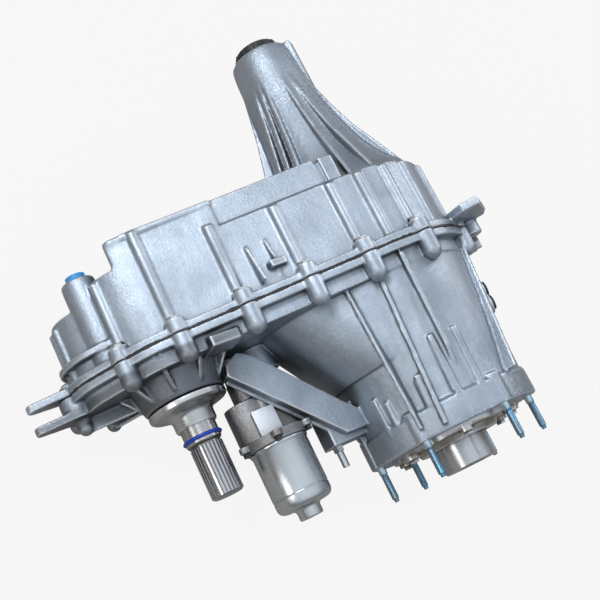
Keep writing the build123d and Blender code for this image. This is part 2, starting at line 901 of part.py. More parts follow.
def seam_gasket():
    outer = case_outline(flange_reach - gasket_setback)
    ring = along_y(outer - case_outline(-wall / 2), front_face_y, rear_face_y)
    for spot in dowel_spots():
        ring -= rod(front_face_y - 1, rear_face_y + 1, dowel_radius + gasket_clear, spot)
    for spot in bolt_spots():
        ring -= rod(front_face_y - 1, rear_face_y + 1, bolt_radius + gasket_clear, spot)
    return ring


def hex_bolt(seat, spot, shank_end):
    """A flanged hex bolt whose head stands on a seat and points to the tail."""
    bolt = rod(seat, seat + bolt_flange_thickness, bolt_flange_radius, spot)
    head = RegularPolygon(bolt_head_width / 2, 6, major_radius=False)
    bolt += along_y(Pos(*spot) * head, seat + bolt_flange_thickness, seat + bolt_head_height)
    return bolt + rod(shank_end, seat + 1, bolt_radius, spot)


def case_bolts():
    seat = rear_face_y + rear_boss_height
    return [hex_bolt(seat, spot, front_face_y - bolt_engagement) for spot in bolt_spots()]


def mounting_studs():
    """Studs with a dog point outside and a thread one size up in the case."""
    profile = [
        (-stud_reach, 0),
        (-stud_reach, stud_radius - 1.4),
        (-stud_reach + 3, stud_radius - 1.2),
        (-stud_reach + 4, stud_radius),
        (0, stud_radius),
        (0, stud_seat_radius),
        (stud_depth, stud_seat_radius),
        (stud_depth, 0),
    ]
    return [turned(profile, spot) for spot in stud_spots()]


def input_shaft():
    """Hollow input shaft with the sun gear and the high-range clutch ring."""
    sun_end = gear_start + gear_width
    bearing_end = input_bearing_y + input_bearing_width
    pilot_floor = sun_end - pilot_depth
    ring_end = sun_end + clutch_ring_length
    pilot_bore = pilot_radius + running
    web = clutch_radius - clutch_web_step
    shaft = turned(
        [
            (input_hub_end, input_spline_radius),
            (input_hub_end, input_hub_radius - input_hub_chamfer),
            (input_hub_end + input_hub_chamfer, input_hub_radius),
            (input_hub_face, input_hub_radius),
            (input_hub_face, input_journal_radius),
            (bearing_end, input_journal_radius),
            (bearing_end, input_journal_radius + input_shoulder),
            (gear_start, input_journal_radius + input_shoulder),
            (gear_start, web),
            (sun_end, web),
            (sun_end, clutch_radius),
            (ring_end, clutch_radius),
            (ring_end, pilot_bore),
            (pilot_floor, pilot_bore),
            (pilot_floor, input_drain_radius),
            (input_spline_floor, input_drain_radius),
            (input_spline_floor, input_spline_radius),
        ]
    )
    sun = along_y(gear_face(sun_teeth, gear_module) - Circle(web - 1), gear_start, sun_end)
    spline_start = input_hub_end + 3
    spline_end = input_spline_floor - 2
    size = (input_tooth_height, spline_end - spline_start, input_tooth_width)
    for tooth in range(input_spline_teeth):
        angle = tooth * 360 / input_spline_teeth
        spot = on_circle(main_axis, input_spline_radius, angle)
        shaft += Pos(spot[0], (spline_start + spline_end) / 2, spot[1]) * Rot(0, -angle, 0) * Box(*size)
    return shaft + sun


def retainer_spots():
    step = 360 / retainer_lugs
    first = stud_first_angle + step / 2
    return [on_circle(main_axis, retainer_lug_circle, first + lug * step) for lug in range(retainer_lugs)]


def input_retainer():
    """Stepped ring bolted over the input bearing, with lugs round its rim."""
    bore = input_hub_radius + retainer_gap
    ring = turned(
        [
            (retainer_rim - 1, bore),
            (retainer_nose, bore),
            (retainer_nose, input_hub_radius + retainer_nose_width),
            (retainer_rim, input_hub_radius + retainer_nose_width + 4),
            (retainer_rim, retainer_radius),
            (0, retainer_radius),
            (0, bore),
        ]
    )
    for spot in retainer_spots():
        ring += rod(retainer_lug_face, 0, retainer_lug_radius, spot)
        ring -= rod(retainer_lug_face - 1, 1, retainer_bolt_radius + retainer_bolt_slack, spot)
    return ring - rod(retainer_seal_floor, 1, input_seal_radius + slip)


def retainer_bolts():
    bolts = []
    for spot in retainer_spots():
        hexagon = Pos(*spot) * RegularPolygon(retainer_bolt_head, 6, major_radius=False)
        head = along_y(hexagon, retainer_lug_face - 4, retainer_lug_face)
        bolts.append(head + rod(retainer_lug_face - 1, 0, retainer_bolt_radius, spot))
    return bolts


def bearing(start, width, outer, inner, spot):
    """A shielded ball bearing as one ring, with a groove on each face for its shields."""
    band = (outer - inner) / 4
    ring = tube(start, start + width, outer, inner + running, spot)
    for y in (start, start + width - shield_depth):
        ring -= tube(y, y + shield_depth, outer - band, inner + band, spot)
    return ring


def annulus_gear():
    teeth = Rot(0, 0, 180 / annulus_teeth) * gear_face(annulus_teeth, gear_module, inside=True)
    face = Circle(gear_bore_radius - slip) - teeth
    return along_y(face, gear_start - 1, gear_start + gear_width + 1)


def planet_carrier():
    """Two plates joined by three bridges between the planet gears."""
    rim = planet_circle + planet_pin_radius + carrier_rim
    front = carrier_front
    rear = carrier_rear
    carrier = tube(front, front + carrier_plate, rim, input_journal_radius + input_shoulder + running)
    carrier += tube(rear, rear + carrier_plate, rim, sleeve_radius + 3)
    for planet in range(planet_count):
        bridge = on_circle(main_axis, planet_circle + 3, (planet + 0.5) * 360 / planet_count)
        carrier += rod(front + 1, rear + 1, bridge_radius, bridge)
        pin = on_circle(main_axis, planet_circle, planet * 360 / planet_count)
        carrier -= rod(front - 1, rear + carrier_plate + 1, planet_pin_radius, pin)
    return carrier


def planet_pins():
    step = 360 / planet_count
    spots = [on_circle(main_axis, planet_circle, planet * step) for planet in range(planet_count)]
    return [rod(carrier_front, carrier_rear + carrier_plate, planet_pin_radius, spot) for spot in spots]


def planet_gear(planet):
    """A planet gear turned so that a gap of its teeth faces a tooth of the sun."""
    angle = planet * 360 / planet_count
    sun_phase = (angle * sun_teeth / 360) % 1
    turn = angle + 180 + (0.5 + sun_phase) * 360 / planet_teeth
    face = gear_face(planet_teeth, gear_module) - Circle(planet_pin_radius + running)
    spot = on_circle(main_axis, planet_circle, angle)
    return along_y(Pos(*spot) * Rot(0, 0, turn) * face, gear_start, gear_start + gear_width)


def range_sleeve():
    sleeve = tube(sleeve_start, sleeve_start + sleeve_length, sleeve_radius, clutch_radius + running)
    half = sleeve_groove / 2
    floor = sleeve_radius - sleeve_groove_depth
    return sleeve - tube(sleeve_middle - half, sleeve_middle + half, sleeve_radius + 1, floor)


def range_fork():
    """Fork astride the sleeve groove, with a hub on the rail and a finger to the shift cam."""
    thick = sleeve_groove / 2 - case_gap
    front, rear = sleeve_middle - thick, sleeve_middle + thick
    inner = sleeve_radius - sleeve_groove_depth + case_gap
    outer = sleeve_radius + fork_depth
    arms = tube(front, rear, outer, inner)
    arms -= block((-outer - 1, outer + 1), (front - 1, rear + 1), (0, outer + 1))
    neck = block((rail_spot[0] - 8, rail_spot[0] + 8), (front, rear), (rail_spot[1], -sleeve_radius - 4))
    hub = rod(front, rail_end - rail_seat - fork_travel - 1, rail_radius + rail_eye_wall, rail_spot)
    bar = block(fork_bar_x, (front, cam_y + pin_radius), fork_bar_z)
    tie_x = (fork_bar_x[0] + 2, rail_spot[0] - 2)
    tie = block(tie_x, (front, sleeve_middle + 20), (fork_bar_z[0] + 2, fork_bar_z[1]))
    tip_x = cam_spot[0] + cam_radius + 1
    finger_root = (sum(fork_bar_x) / 2, sum(fork_bar_z) / 2)
    finger = rounded_bar(finger_root, (tip_x + 4, cam_spot[1]), 4.0, (cam_y - pin_radius, cam_y + pin_radius))
    pin = Pos(tip_x - 1, cam_y, cam_spot[1]) * Rot(0, 90, 0) * Cylinder(pin_radius, 8)
    fork = arms + neck + hub + bar + tie + finger + pin
    return fork - rod(sleeve_middle - 20, rail_end, rail_radius + running, rail_spot)


def shift_rail():
    return rod(rail_start, rail_end, rail_radius, rail_spot)


def shift_cam():
    """Shift shaft with its driven gear in the motor gearbox and a skew groove for the fork pin."""
    shaft = rod(cam_gear_y - cam_shaft_tail, cam_y + cam_rear, cam_shaft_radius, cam_spot)
    drum = rod(cam_y - cam_front, cam_y + cam_rear, cam_radius, cam_spot)
    lean = degrees(atan2(fork_travel, cam_radius * sin(radians(cam_turn))))
    groove = Pos(cam_spot[0], cam_y, cam_spot[1]) * Rot(-lean, 0, 0) * Rot(90, 0, 0)
    band = Cylinder(3 * cam_radius, groove_width)
    band -= Cylinder(cam_radius - groove_depth, 2 * groove_width)
    drum -= groove * band
    return shaft + drum + rod(cam_gear_y, cam_gear_y + cam_gear_width, cam_gear_radius, cam_spot)


def main_shaft():
    """Main shaft: pilot, range hub, clutch seat, sprocket seat, bearing journal and tail spline."""
    pilot_start = gear_start + gear_width - pilot_depth + 2
    hub_start = gear_start + gear_width + clutch_ring_length + 1
    hub_end = hub_start + range_hub_length
    journal_start = rear_bearing_y - 6
    return turned(
        [
            (pilot_start, 0),
            (pilot_start, pilot_radius),
            (hub_start, pilot_radius),
            (hub_start, clutch_radius),
            (hub_end, clutch_radius),
            (hub_end, main_shaft_radius),
            (journal_start, main_shaft_radius),
            (journal_start, rear_journal_radius),
            (main_spline_start - 4, rear_journal_radius),
            (main_spline_start, main_spline_radius),
            (main_spline_end, main_spline_radius),
            (main_spline_end, 0),
        ]
    )


def clutch_pack():
    """Drum and plates that lock the chain sprocket to the main shaft."""
    drum = tube(clutch_start, clutch_start + clutch_length, clutch_drum_radius, main_shaft_radius + slip)
    pitch = (clutch_length - clutch_groove_width / 2 - clutch_groove_width) / clutch_grooves
    for groove in range(clutch_grooves):
        y = clutch_start + 2 * clutch_groove_width + groove * pitch
        floor = clutch_drum_radius - clutch_groove_depth
        drum -= tube(y, y + clutch_groove_width, clutch_drum_radius + 1, floor)
    return drum


def sprocket(spot, bore):
    """Chain sprocket whose teeth line up with the chain at rest."""
    face = gear_face(sprocket_teeth, chain_pitch / pi)
    wheel = along_y(Pos(*spot) * face, chain_start, chain_start + chain_width)
    recess_end = chain_start + sprocket_recess
    wheel -= tube(chain_start - 1, recess_end, sprocket_web_radius, bore + sprocket_hub, spot)
    return wheel - rod(chain_start - 1, chain_start + chain_width + 1, bore + slip, spot)


def drive_chain():
    """Chain band that wraps both sprockets, clear of the tooth tips."""
    inner = sprocket_teeth * chain_pitch / pi / 2 + chain_clear
    outer = inner + chain_thickness
    taper = 0.001
    inside = hull_face((*main_axis, inner), (*output_axis, inner + taper))
    outside = hull_face((*main_axis, outer), (*output_axis, outer + taper))
    return along_y(outside - inside, chain_start + 1, chain_start + chain_width - 1)


def output_shaft():
    """Front output shaft: splined end, journal, bearing seats and sprocket seat."""
    spline_end = output_spline_end + output_spline_length
    core = output_spline_radius - 1
    groove_y = spline_end + oring_start
    groove = output_journal_radius - oring_groove
    needle_start = chain_start + chain_width + 6
    shaft_end = needle_y + needle_width
    shaft = turned(
        [
            (output_spline_end, 0),
            (output_spline_end, core - 1.5),
            (output_spline_end + 1.5, core),
            (spline_end - 1, core),
            (spline_end, output_journal_radius - 1.5),
            (spline_end + 2, output_journal_radius),
            (groove_y, output_journal_radius),
            (groove_y, groove),
            (groove_y + oring_width, groove),
            (groove_y + oring_width, output_journal_radius),
            (needle_start, output_journal_radius),
            (needle_start, rear_needle_radius),
            (shaft_end, rear_needle_radius),
            (shaft_end, 0),
        ],
        output_axis,
    )
    tooth_start = output_spline_end + 1.5
    tooth_end = spline_end - 3
    for spline in range(output_splines):
        angle = spline * 360 / output_splines
        spot = on_circle(output_axis, output_spline_radius - output_tooth_height / 2, angle)
        key = Pos(spot[0], (tooth_start + tooth_end) / 2, spot[1]) * Rot(0, -angle, 0)
        shaft += key * Box(output_tooth_height, tooth_end - tooth_start, output_tooth_width)
    return shaft


def slinger():
    """Dished dust ring pressed on the output shaft, with its collar."""
    collar = output_journal_radius + slinger_collar
    rim = slinger_radius - slinger_sheet
    return turned(
        [
            (slinger_start, output_journal_radius),
            (slinger_start, collar - 1),
            (slinger_start + 3, collar),
            (slinger_face, collar),
            (slinger_face, slinger_radius),
            (slinger_end, slinger_radius),
            (slinger_end, rim),
            (slinger_face + 2, rim),
            (slinger_face + 2, output_journal_radius),
        ],
        output_axis,
    )


def output_oring():
    y = output_spline_end + output_spline_length + oring_start + oring_width / 2
    ring = Torus(output_journal_radius + oring_stand, oring_width / 2)
    return Pos(output_axis[0], y, output_axis[1]) * Rot(90, 0, 0) * ring


def output_seal():
    bore = output_journal_radius + running
    return tube(output_boss_y + 0.5, output_bearing_y, output_bearing_radius, bore, output_axis)


def motor_gearbox():
    """Cast reduction housing between the motor and the case, open inside round its gears."""
    back = gearbox_rear - case_gap
    start = gearbox_front + case_gap
    plate = gearbox_front + motor_flange_thickness
    body = rod(start, plate + 1, motor_can_radius + 4, motor_spot)
    for spot in motor_screw_spots():
        body += rod(motor_lug_y, plate + 1, motor_lug_radius, spot)
    body += along_y(hull_face(*gearbox_low_hull), plate, gearbox_step_y)
    body += along_y(hull_face(*gearbox_high_hull), gearbox_step_y - 1, back)
    body += rod(plate, gearbox_column_end, gearbox_column_radius, gearbox_column_spot)
    body += block(*gearbox_plate)
    body += block(*connector_pad)
    for spot in gearbox_bolt_spots:
        body += rod(plate, back, gearbox_lug_radius, spot)
        body += block(sorted((spot[0], cam_spot[0] - 10)), (plate, plate + 9), (spot[1] - 5, spot[1] + 12))
    gear_room = hull_face((*cam_spot, cam_gear_radius + 1), (*motor_spot, pinion_radius + 2))
    body -= along_y(gear_room, cam_gear_y - 2, cam_gear_y + cam_gear_width + 2)
    body -= rod(gearbox_front - 4, cam_gear_y, armature_neck + running, motor_spot)
    body -= rod(cam_gear_y - cam_shaft_tail, gearbox_rear + 1, cam_shaft_radius + running, cam_spot)
    for spot in gearbox_bolt_spots:
        body -= rod(gearbox_front, gearbox_rear, gearbox_bolt_radius + slip, spot)
    for spot in motor_screw_spots():
        body -= rod(gearbox_front, plate + 2, motor_screw_radius + slip, spot)
        body -= rod(gearbox_front, motor_lug_y, motor_screw_head + case_gap, spot)
    return body


def motor_screw_spots():
    step = 360 / motor_screw_count
    angles = [motor_screw_turn + step * screw for screw in range(motor_screw_count)]
    return [on_circle(motor_spot, motor_can_radius + motor_lug_radius, angle) for angle in angles]


def motor_screws():
    screws = []
    for spot in motor_screw_spots():
        head = along_y(Pos(*spot) * RegularPolygon(motor_screw_head, 6), motor_lug_y - 5, motor_lug_y)
        end = gearbox_front + motor_flange_thickness
        screws.append(head + rod(motor_lug_y - 1, end, motor_screw_radius, spot))
    return screws


def gearbox_bolts():
    bolts = []
    seat = gearbox_front + motor_flange_thickness
    for spot in gearbox_bolt_spots:
        hexagon = Pos(*spot) * RegularPolygon(gearbox_bolt_head, 6, major_radius=False)
        head = along_y(hexagon, seat - 6, seat)
        bolts.append(head + rod(seat - 1, front_wall_y - 8, gearbox_bolt_radius, spot))
    return bolts


def motor_connector():
    """Socket for the motor lead under the can, with its open mouth towards the input end."""
    x, z = connector_spot
    half, depth = connector_half, connector_half - connector_wall
    socket = block((x - half, x + half), (connector_y, gearbox_front), (z - half, z + half))
    mouth = block((x - depth, x + depth), (connector_y - 1, gearbox_front - 6), (z - depth, z + depth))
    return socket - mouth


def motor_can():
    """Drawn motor can with a stepped end and a small bearing hub."""
    hub_end = motor_can_end - motor_hub_length
    inner = motor_can_radius - can_sheet
    floor = motor_can_end + can_sheet + 1
    return turned(
        [
            (hub_end, 0),
            (hub_end, motor_hub_radius - 1),
            (hub_end + 1, motor_hub_radius),
            (motor_can_end - 2, motor_hub_radius),
            (motor_can_end, motor_hub_radius + 4),
            (motor_can_end, motor_can_radius - can_corner),
            (motor_can_end + can_corner, motor_can_radius),
            (motor_can_start - can_flange, motor_can_radius),
            (motor_can_start - can_flange, motor_can_radius + can_flange / 2),
            (motor_can_start, motor_can_radius + can_flange / 2),
            (motor_can_start, inner),
            (floor, inner),
            (floor, armature_neck),
            (hub_end + can_flange, armature_neck),
            (hub_end + can_flange, 0),
        ],
        motor_spot,
    )


def motor_armature():
    """Armature and pinion that turn inside the can."""
    start, core_start, core_end = armature_ys
    pinion_end = cam_gear_y + cam_gear_width
    return turned(
        [
            (start, 0),
            (start, armature_neck - running),
            (core_start, armature_neck - running),
            (core_start, armature_radius),
            (core_end, armature_radius),
            (core_end, armature_neck),
            (cam_gear_y, armature_neck),
            (cam_gear_y, pinion_radius),
            (pinion_end, pinion_radius),
            (pinion_end, 0),
        ],
        motor_spot,
    )


def rear_plug():
    """Ribbed shipping plug in the rear output."""
    seat = tail_end_y + case_gap
    shoulder = tail_end_y + plug_reach - 2
    stem_end = tail_end_y - seal_depth - 20
    plug = turned(
        [
            (stem_end, 0),
            (stem_end, yoke_radius - 2),
            (tail_end_y, yoke_radius - 0.5),
            (seat, rear_plug_radius),
            (shoulder, rear_plug_radius),
            (shoulder + 2, rear_plug_radius - 2),
            (shoulder + 2, 0),
        ]
    )
    for rib in range(plug_rib_count):
        spot = on_circle(main_axis, rear_plug_radius, rib * 360 / plug_rib_count)
        plug += rod(seat, shoulder, plug_rib_radius, spot)
    return plug


def rear_seal():
    return tube(tail_end_y - seal_depth, tail_end_y, seal_radius, yoke_radius)


def rear_bushing():
    start = tail_end_y - seal_depth - bushing_length
    return tube(start, start + bushing_length - 1, seal_radius - bushing_step, yoke_radius)


def port_plug():
    stem = rod(port_top - port_depth + 8, port_top, port_plug_radius - slip, port_spot)
    return stem + rod(port_top, port_top + 6, port_plug_radius + 2, port_spot)


def radial_rod(angle, inner, outer, radius, y):
    """A round bar standing out from the main axis at one Y."""
    bar = Pos((inner + outer) / 2, y, 0) * Rot(0, 90, 0) * Cylinder(radius, outer - inner)
    return Rot(0, -angle, 0) * bar


def flank_plug(y):
    """Threaded plug with a low round head in the flank of the bell."""
    plug = radial_rod(plug_angle, gear_bore_radius + 1, plug_seat, plug_radius, y)
    return plug + radial_rod(plug_angle, plug_seat, plug_seat + 3.5, plug_head_radius, y)


def detent_plug():
    """Hex-headed plug over the range detent, on the flank near the split line."""
    plug = radial_rod(detent_angle, gear_bore_radius + 4, detent_seat, detent_radius, detent_y)
    head = Rot(0, 90, 0) * extrude(RegularPolygon(detent_radius + 2, 6), amount=6)
    return plug + Rot(0, -detent_angle, 0) * Pos(detent_seat, detent_y, 0) * head


def dowel_spots():
    return [
        on_circle(main_axis, main_radius + bolt_out - 3, dowel_main_angle),
        on_circle(output_axis, output_radius + bolt_out - 3, dowel_output_angle),
    ]


def dowel_pins():
    return [rod(split_y - dowel_half, split_y + dowel_half, dowel_radius, spot) for spot in dowel_spots()]


def speed_sensor():
    body = radial_rod(sensor_angle, tone_radius + 1, sensor_seat, sensor_radius, sensor_y)
    return body + radial_rod(sensor_angle, sensor_seat, sensor_seat + 12, sensor_radius + 2, sensor_y)


def tone_wheel():
    """Slotted ring on the main shaft that the speed sensor reads."""
    start, end = sensor_y - tone_width / 2, sensor_y + tone_width / 2
    ring = tube(start, end, tone_radius, rear_journal_radius)
    slot_x = (tone_radius - tone_slot_depth, tone_radius + 1)
    for slot in range(tone_slots):
        cut = block(slot_x, (start - 1, end + 1), (-tone_slot_width / 2, tone_slot_width / 2))
        ring -= Rot(0, slot * 360 / tone_slots, 0) * cut
    return ring


def oil_pump():
    """Pump body on the main shaft, held from turning by its arm to the cover."""
    body = tube(pump_y, pump_y + pump_width, pump_radius, main_shaft_radius + running)
    rim = main_radius - wall - 2
    arm_start, arm_end = pump_y + 2, pump_y + 12
    arm = [(pump_radius - 4, arm_start), (rim, arm_start), (rim, arm_end), (pump_radius - 4, arm_end)]
    foot_end = rear_wall_y - wall
    foot = [(rim - 10, arm_start), (rim, arm_start), (rim, foot_end), (rim - 10, foot_end)]
    body += radial_rib(pump_arm_angle, arm, pump_arm_width)
    return body + radial_rib(pump_arm_angle, foot, pump_arm_width)


def oil_pickup():
    """Strainer lying in the sump, with its pipe up to the pump."""
    reach = main_radius - wall - pickup_clear
    pipe = radial_rod(pickup_angle, pump_radius + case_gap, reach, pickup_pipe_radius, pickup_y)
    x, z = on_circle(main_axis, reach, pickup_angle)
    half_x, half_y, half_z = pickup_half_size
    strainer = Pos(x, pickup_y, z) * Box(2 * half_x, 2 * half_y, 2 * half_z)
    return pipe + strainer


def chip_magnet():
    x, z = on_circle(output_axis, output_radius - wall - 3, magnet_angle)
    end = rear_wall_y - wall
    return rod(end - magnet_thickness, end, magnet_radius, (x + magnet_shift[0], z + magnet_shift[1]))


def ramp_lever():
    """Ball-ramp ring that squeezes the clutch, with its arm reaching towards the shift cam."""
    start = clutch_start + clutch_length + case_gap
    ring = tube(start, start + ramp_width, ramp_radius, main_shaft_radius + running)
    tip = (cam_spot[0] + cam_radius + 11, ramp_tip_z)
    return ring + rounded_bar(ramp_arm_root, tip, ramp_arm_half, (start + ramp_width / 2, start + ramp_width))


def snap_ring(start, radius, spot):
    return tube(start, start + snap_ring_width, radius + snap_ring_height, radius, spot)


def vent_stud():
    """Small hex-footed fitting under the block at the end of the strut."""
    foot_y = strut_foot_y[0]
    hexagon = Pos(*vent_spot) * RegularPolygon(vent_hex_half, 6, major_radius=False)
    hex_end = foot_y - vent_hex_height
    return rod(vent_end, hex_end, vent_radius, vent_spot) + along_y(hexagon, hex_end, foot_y)


def export(name, shape):
    """Writes one node, fused or as a group of separate solids."""
    if isinstance(shape, list):
        shape = Compound(children=[solid for piece in shape for solid in piece.solids()])
    export_step(shape, f"parts/{name}.step")


def main():
    os.makedirs("parts", exist_ok=True)
    nodes = {
        "front_case": front_case(),
        "rear_case": rear_case(),
        "seam_gasket": seam_gasket(),
        "case_bolts": case_bolts(),
        "mounting_studs": mounting_studs(),
        "input_shaft": input_shaft(),
        "input_retainer": input_retainer(),
        "retainer_bolts": retainer_bolts(),
        "input_bearing": bearing(
            input_bearing_y, input_bearing_width, input_bearing_radius, input_journal_radius, main_axis
        ),
        "input_seal": tube(input_seal_face, 0, input_seal_radius, input_hub_radius + running),
        "annulus_gear": annulus_gear(),
        "planet_carrier": planet_carrier(),
        "planet_pins": planet_pins(),
        "range_sleeve": range_sleeve(),
        "range_fork": range_fork(),
        "shift_rail": shift_rail(),
        "shift_cam": shift_cam(),
        "main_shaft": main_shaft(),
        "clutch_pack": clutch_pack(),
        "drive_sprocket": sprocket(main_axis, main_shaft_radius),
        "driven_sprocket": sprocket(output_axis, output_journal_radius),
        "drive_chain": drive_chain(),
        "main_rear_bearing": bearing(
            rear_bearing_y, rear_bearing_width, rear_bearing_radius, rear_journal_radius, main_axis
        ),
        "front_output_shaft": output_shaft(),
        "front_output_bearing": bearing(
            output_bearing_y, output_bearing_width, output_bearing_radius, output_journal_radius, output_axis
        ),
        "front_output_rear_bearing": tube(
            needle_y,
            needle_y + needle_width,
            rear_needle_radius + needle_wall,
            rear_needle_radius + running,
            output_axis,
        ),
        "front_output_seal": output_seal(),
        "output_slinger": slinger(),
        "output_oring": output_oring(),
        "motor_gearbox": motor_gearbox(),
        "motor_can": motor_can(),
        "motor_armature": motor_armature(),
        "rear_output_plug": rear_plug(),
        "rear_output_seal": rear_seal(),
        "rear_bushing": rear_bushing(),
        "port_plug": port_plug(),
        "fill_plug": flank_plug(plug_places[0]),
        "drain_plug": flank_plug(plug_places[1]),
        "detent_plug": detent_plug(),
        "dowel_pins": dowel_pins(),
        "speed_sensor": speed_sensor(),
        "tone_wheel": tone_wheel(),
        "oil_pump": oil_pump(),
        "oil_pickup": oil_pickup(),
        "chip_magnet": chip_magnet(),
        "ramp_lever": ramp_lever(),
        "main_snap_ring": snap_ring(rear_bearing_y + rear_bearing_width, rear_journal_radius, main_axis),
        "output_snap_ring": snap_ring(
            output_bearing_y + output_bearing_width, output_journal_radius, output_axis
        ),
        "motor_screws": motor_screws(),
        "gearbox_bolts": gearbox_bolts(),
        "motor_connector": motor_connector(),
        "vent_stud": vent_stud(),
    }
    for planet in range(planet_count):
        nodes[f"planet_gear_{planet + 1}"] = planet_gear(planet)
    for name, shape in nodes.items():
        export(name, shape)


main()
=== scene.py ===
import json
import math

import bpy
from mathutils import Matrix, Vector


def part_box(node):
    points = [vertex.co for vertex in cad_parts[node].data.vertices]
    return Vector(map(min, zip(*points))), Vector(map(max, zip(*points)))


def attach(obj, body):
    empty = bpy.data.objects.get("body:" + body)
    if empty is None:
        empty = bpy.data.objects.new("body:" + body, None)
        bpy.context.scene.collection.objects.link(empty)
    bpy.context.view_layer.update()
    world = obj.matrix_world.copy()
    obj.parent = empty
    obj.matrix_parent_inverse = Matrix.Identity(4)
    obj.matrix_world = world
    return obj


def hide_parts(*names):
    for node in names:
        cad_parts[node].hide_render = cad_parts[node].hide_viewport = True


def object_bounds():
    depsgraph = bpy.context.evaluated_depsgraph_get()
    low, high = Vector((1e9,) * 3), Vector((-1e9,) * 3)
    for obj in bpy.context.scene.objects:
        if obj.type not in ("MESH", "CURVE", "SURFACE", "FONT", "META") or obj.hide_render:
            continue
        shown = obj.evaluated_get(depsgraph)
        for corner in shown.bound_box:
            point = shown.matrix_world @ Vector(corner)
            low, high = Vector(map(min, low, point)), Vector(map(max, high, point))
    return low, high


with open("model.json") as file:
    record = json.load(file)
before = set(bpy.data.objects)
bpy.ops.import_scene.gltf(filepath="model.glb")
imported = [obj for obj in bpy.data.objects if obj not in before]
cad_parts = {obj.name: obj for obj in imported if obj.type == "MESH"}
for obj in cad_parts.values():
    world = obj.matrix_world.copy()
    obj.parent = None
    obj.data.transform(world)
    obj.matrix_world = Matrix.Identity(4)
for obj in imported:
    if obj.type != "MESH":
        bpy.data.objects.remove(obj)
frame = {"nodes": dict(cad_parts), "record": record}
cadLow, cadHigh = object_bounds()
nodes = frame["nodes"]
members = frame["record"]["behaviour"]["bodies"]
bodyOf = {node: body for body, names in members.items() for node in names}
slotOf = {part["node"]: part["material_slot"] for part in frame["record"]["subparts"]}
print("frame loaded:", len(nodes), "nodes")


# ---- small helpers for objects ----

mergeReach = {"cad": 0.00001, "rings": 0.000005}


def deselectAll():
    if bpy.context.object and bpy.context.object.mode != "OBJECT":
        bpy.ops.object.mode_set(mode="OBJECT")
    bpy.ops.object.select_all(action="DESELECT")


def makeActive(piece):
    deselectAll()
    piece.select_set(True)
    bpy.context.view_layer.objects.active = piece


def applyModifiers(piece):
    makeActive(piece)
    for modifier in list(piece.modifiers):
        bpy.ops.object.modifier_apply(modifier=modifier.name)


def freeCopy(nodeName, pieceName):
    # a copy of a CAD node's mesh, with its loose triangles merged
    piece = bpy.data.objects.new(pieceName, nodes[nodeName].data.copy())
    bpy.context.scene.collection.objects.link(piece)
    makeActive(piece)
    bpy.ops.object.mode_set(mode="EDIT")
    bpy.ops.mesh.select_all(action="SELECT")
    bpy.ops.mesh.remove_doubles(threshold=mergeReach["cad"])
    bpy.ops.object.mode_set(mode="OBJECT")
    return piece


def dress(piece, nodeName, material):
    # the piece stands for the node, on the same body and with the material it is given
    piece.data.materials.clear()
    piece.data.materials.append(material)
    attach(piece, bodyOf[nodeName])
    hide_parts(nodeName)


# ---- small helpers for node materials ----

def addNode(tree, kind, place, values=None, **settings):
    node = tree.nodes.new(kind)
    node.location = place
    for key, value in settings.items():
        setattr(node, key, value)
    for key, value in (values or {}).items():
        node.inputs[key].default_value = value
    return node


def newGroup(name, inputs, outputs):
    group = bpy.data.node_groups.new(name, "ShaderNodeTree")
    for label, value in inputs.items():
        socket = group.interface.new_socket(name=label, in_out="INPUT", socket_type="NodeSocketFloat")
        socket.default_value = value
    for label in outputs:
        group.interface.new_socket(name=label, in_out="OUTPUT", socket_type="NodeSocketFloat")
    entry = group.nodes.new("NodeGroupInput")
    entry.location = (-900, 0)
    leave = group.nodes.new("NodeGroupOutput")
    leave.location = (900, 0)
    return group, entry, leave


def placeGroup(tree, group, place, values):
    node = tree.nodes.new("ShaderNodeGroup")
    node.node_tree = group
    node.location = place
    for key, value in values.items():
        node.inputs[key].default_value = value
    return node


def combined(tree, place, operation, first, second):
    # a sum, product or the like of two sockets, or of a socket and a number
    node = addNode(tree, "ShaderNodeMath", place, operation=operation)
    tree.links.new(first, node.inputs[0])
    if isinstance(second, float):
        node.inputs[1].default_value = second
    else:
        tree.links.new(second, node.inputs[1])
    return node.outputs[0]


def scaled(tree, place, source, low, high, start=0.0, end=1.0):
    node = addNode(tree, "ShaderNodeMapRange", place,
                   {"From Min": start, "From Max": end, "To Min": low, "To Max": high})
    tree.links.new(source, node.inputs["Value"])
    return node.outputs[0]


def mixColor(tree, place, factor, first, second):
    # first and second are colours or sockets
    mix = addNode(tree, "ShaderNodeMix", place, data_type="RGBA")
    for socket, source in ((mix.inputs[6], first), (mix.inputs[7], second)):
        if isinstance(source, tuple):
            socket.default_value = (*source, 1.0)
        else:
            tree.links.new(source, socket)
    tree.links.new(factor, mix.inputs[0])
    return mix.outputs[2]


# ---- shared effects ----

grainLook = {"noise": {"Detail": 3.0, "Roughness": 0.6}, "pitShare": 0.5}


def buildCastGrain(look):
    # fine blasted grain with shallow pits, as a height
    group, entry, leave = newGroup("castGrain", {"Grain Scale": 900.0, "Pit Scale": 260.0}, ["Height"])
    links = group.links
    place = addNode(group, "ShaderNodeTexCoord", (-1100, 200))
    fine = addNode(group, "ShaderNodeTexNoise", (-600, 200), look["noise"])
    pits = addNode(group, "ShaderNodeTexVoronoi", (-600, -100), feature="F1")
    for noise, scale in ((fine, "Grain Scale"), (pits, "Pit Scale")):
        links.new(place.outputs["Object"], noise.inputs["Vector"])
        links.new(entry.outputs[scale], noise.inputs["Scale"])
    spread = combined(group, (-300, -100), "MULTIPLY", pits.outputs["Distance"], look["pitShare"])
    height = combined(group, (0, 100), "ADD", fine.outputs["Fac"], spread)
    links.new(height, leave.inputs["Height"])
    return group


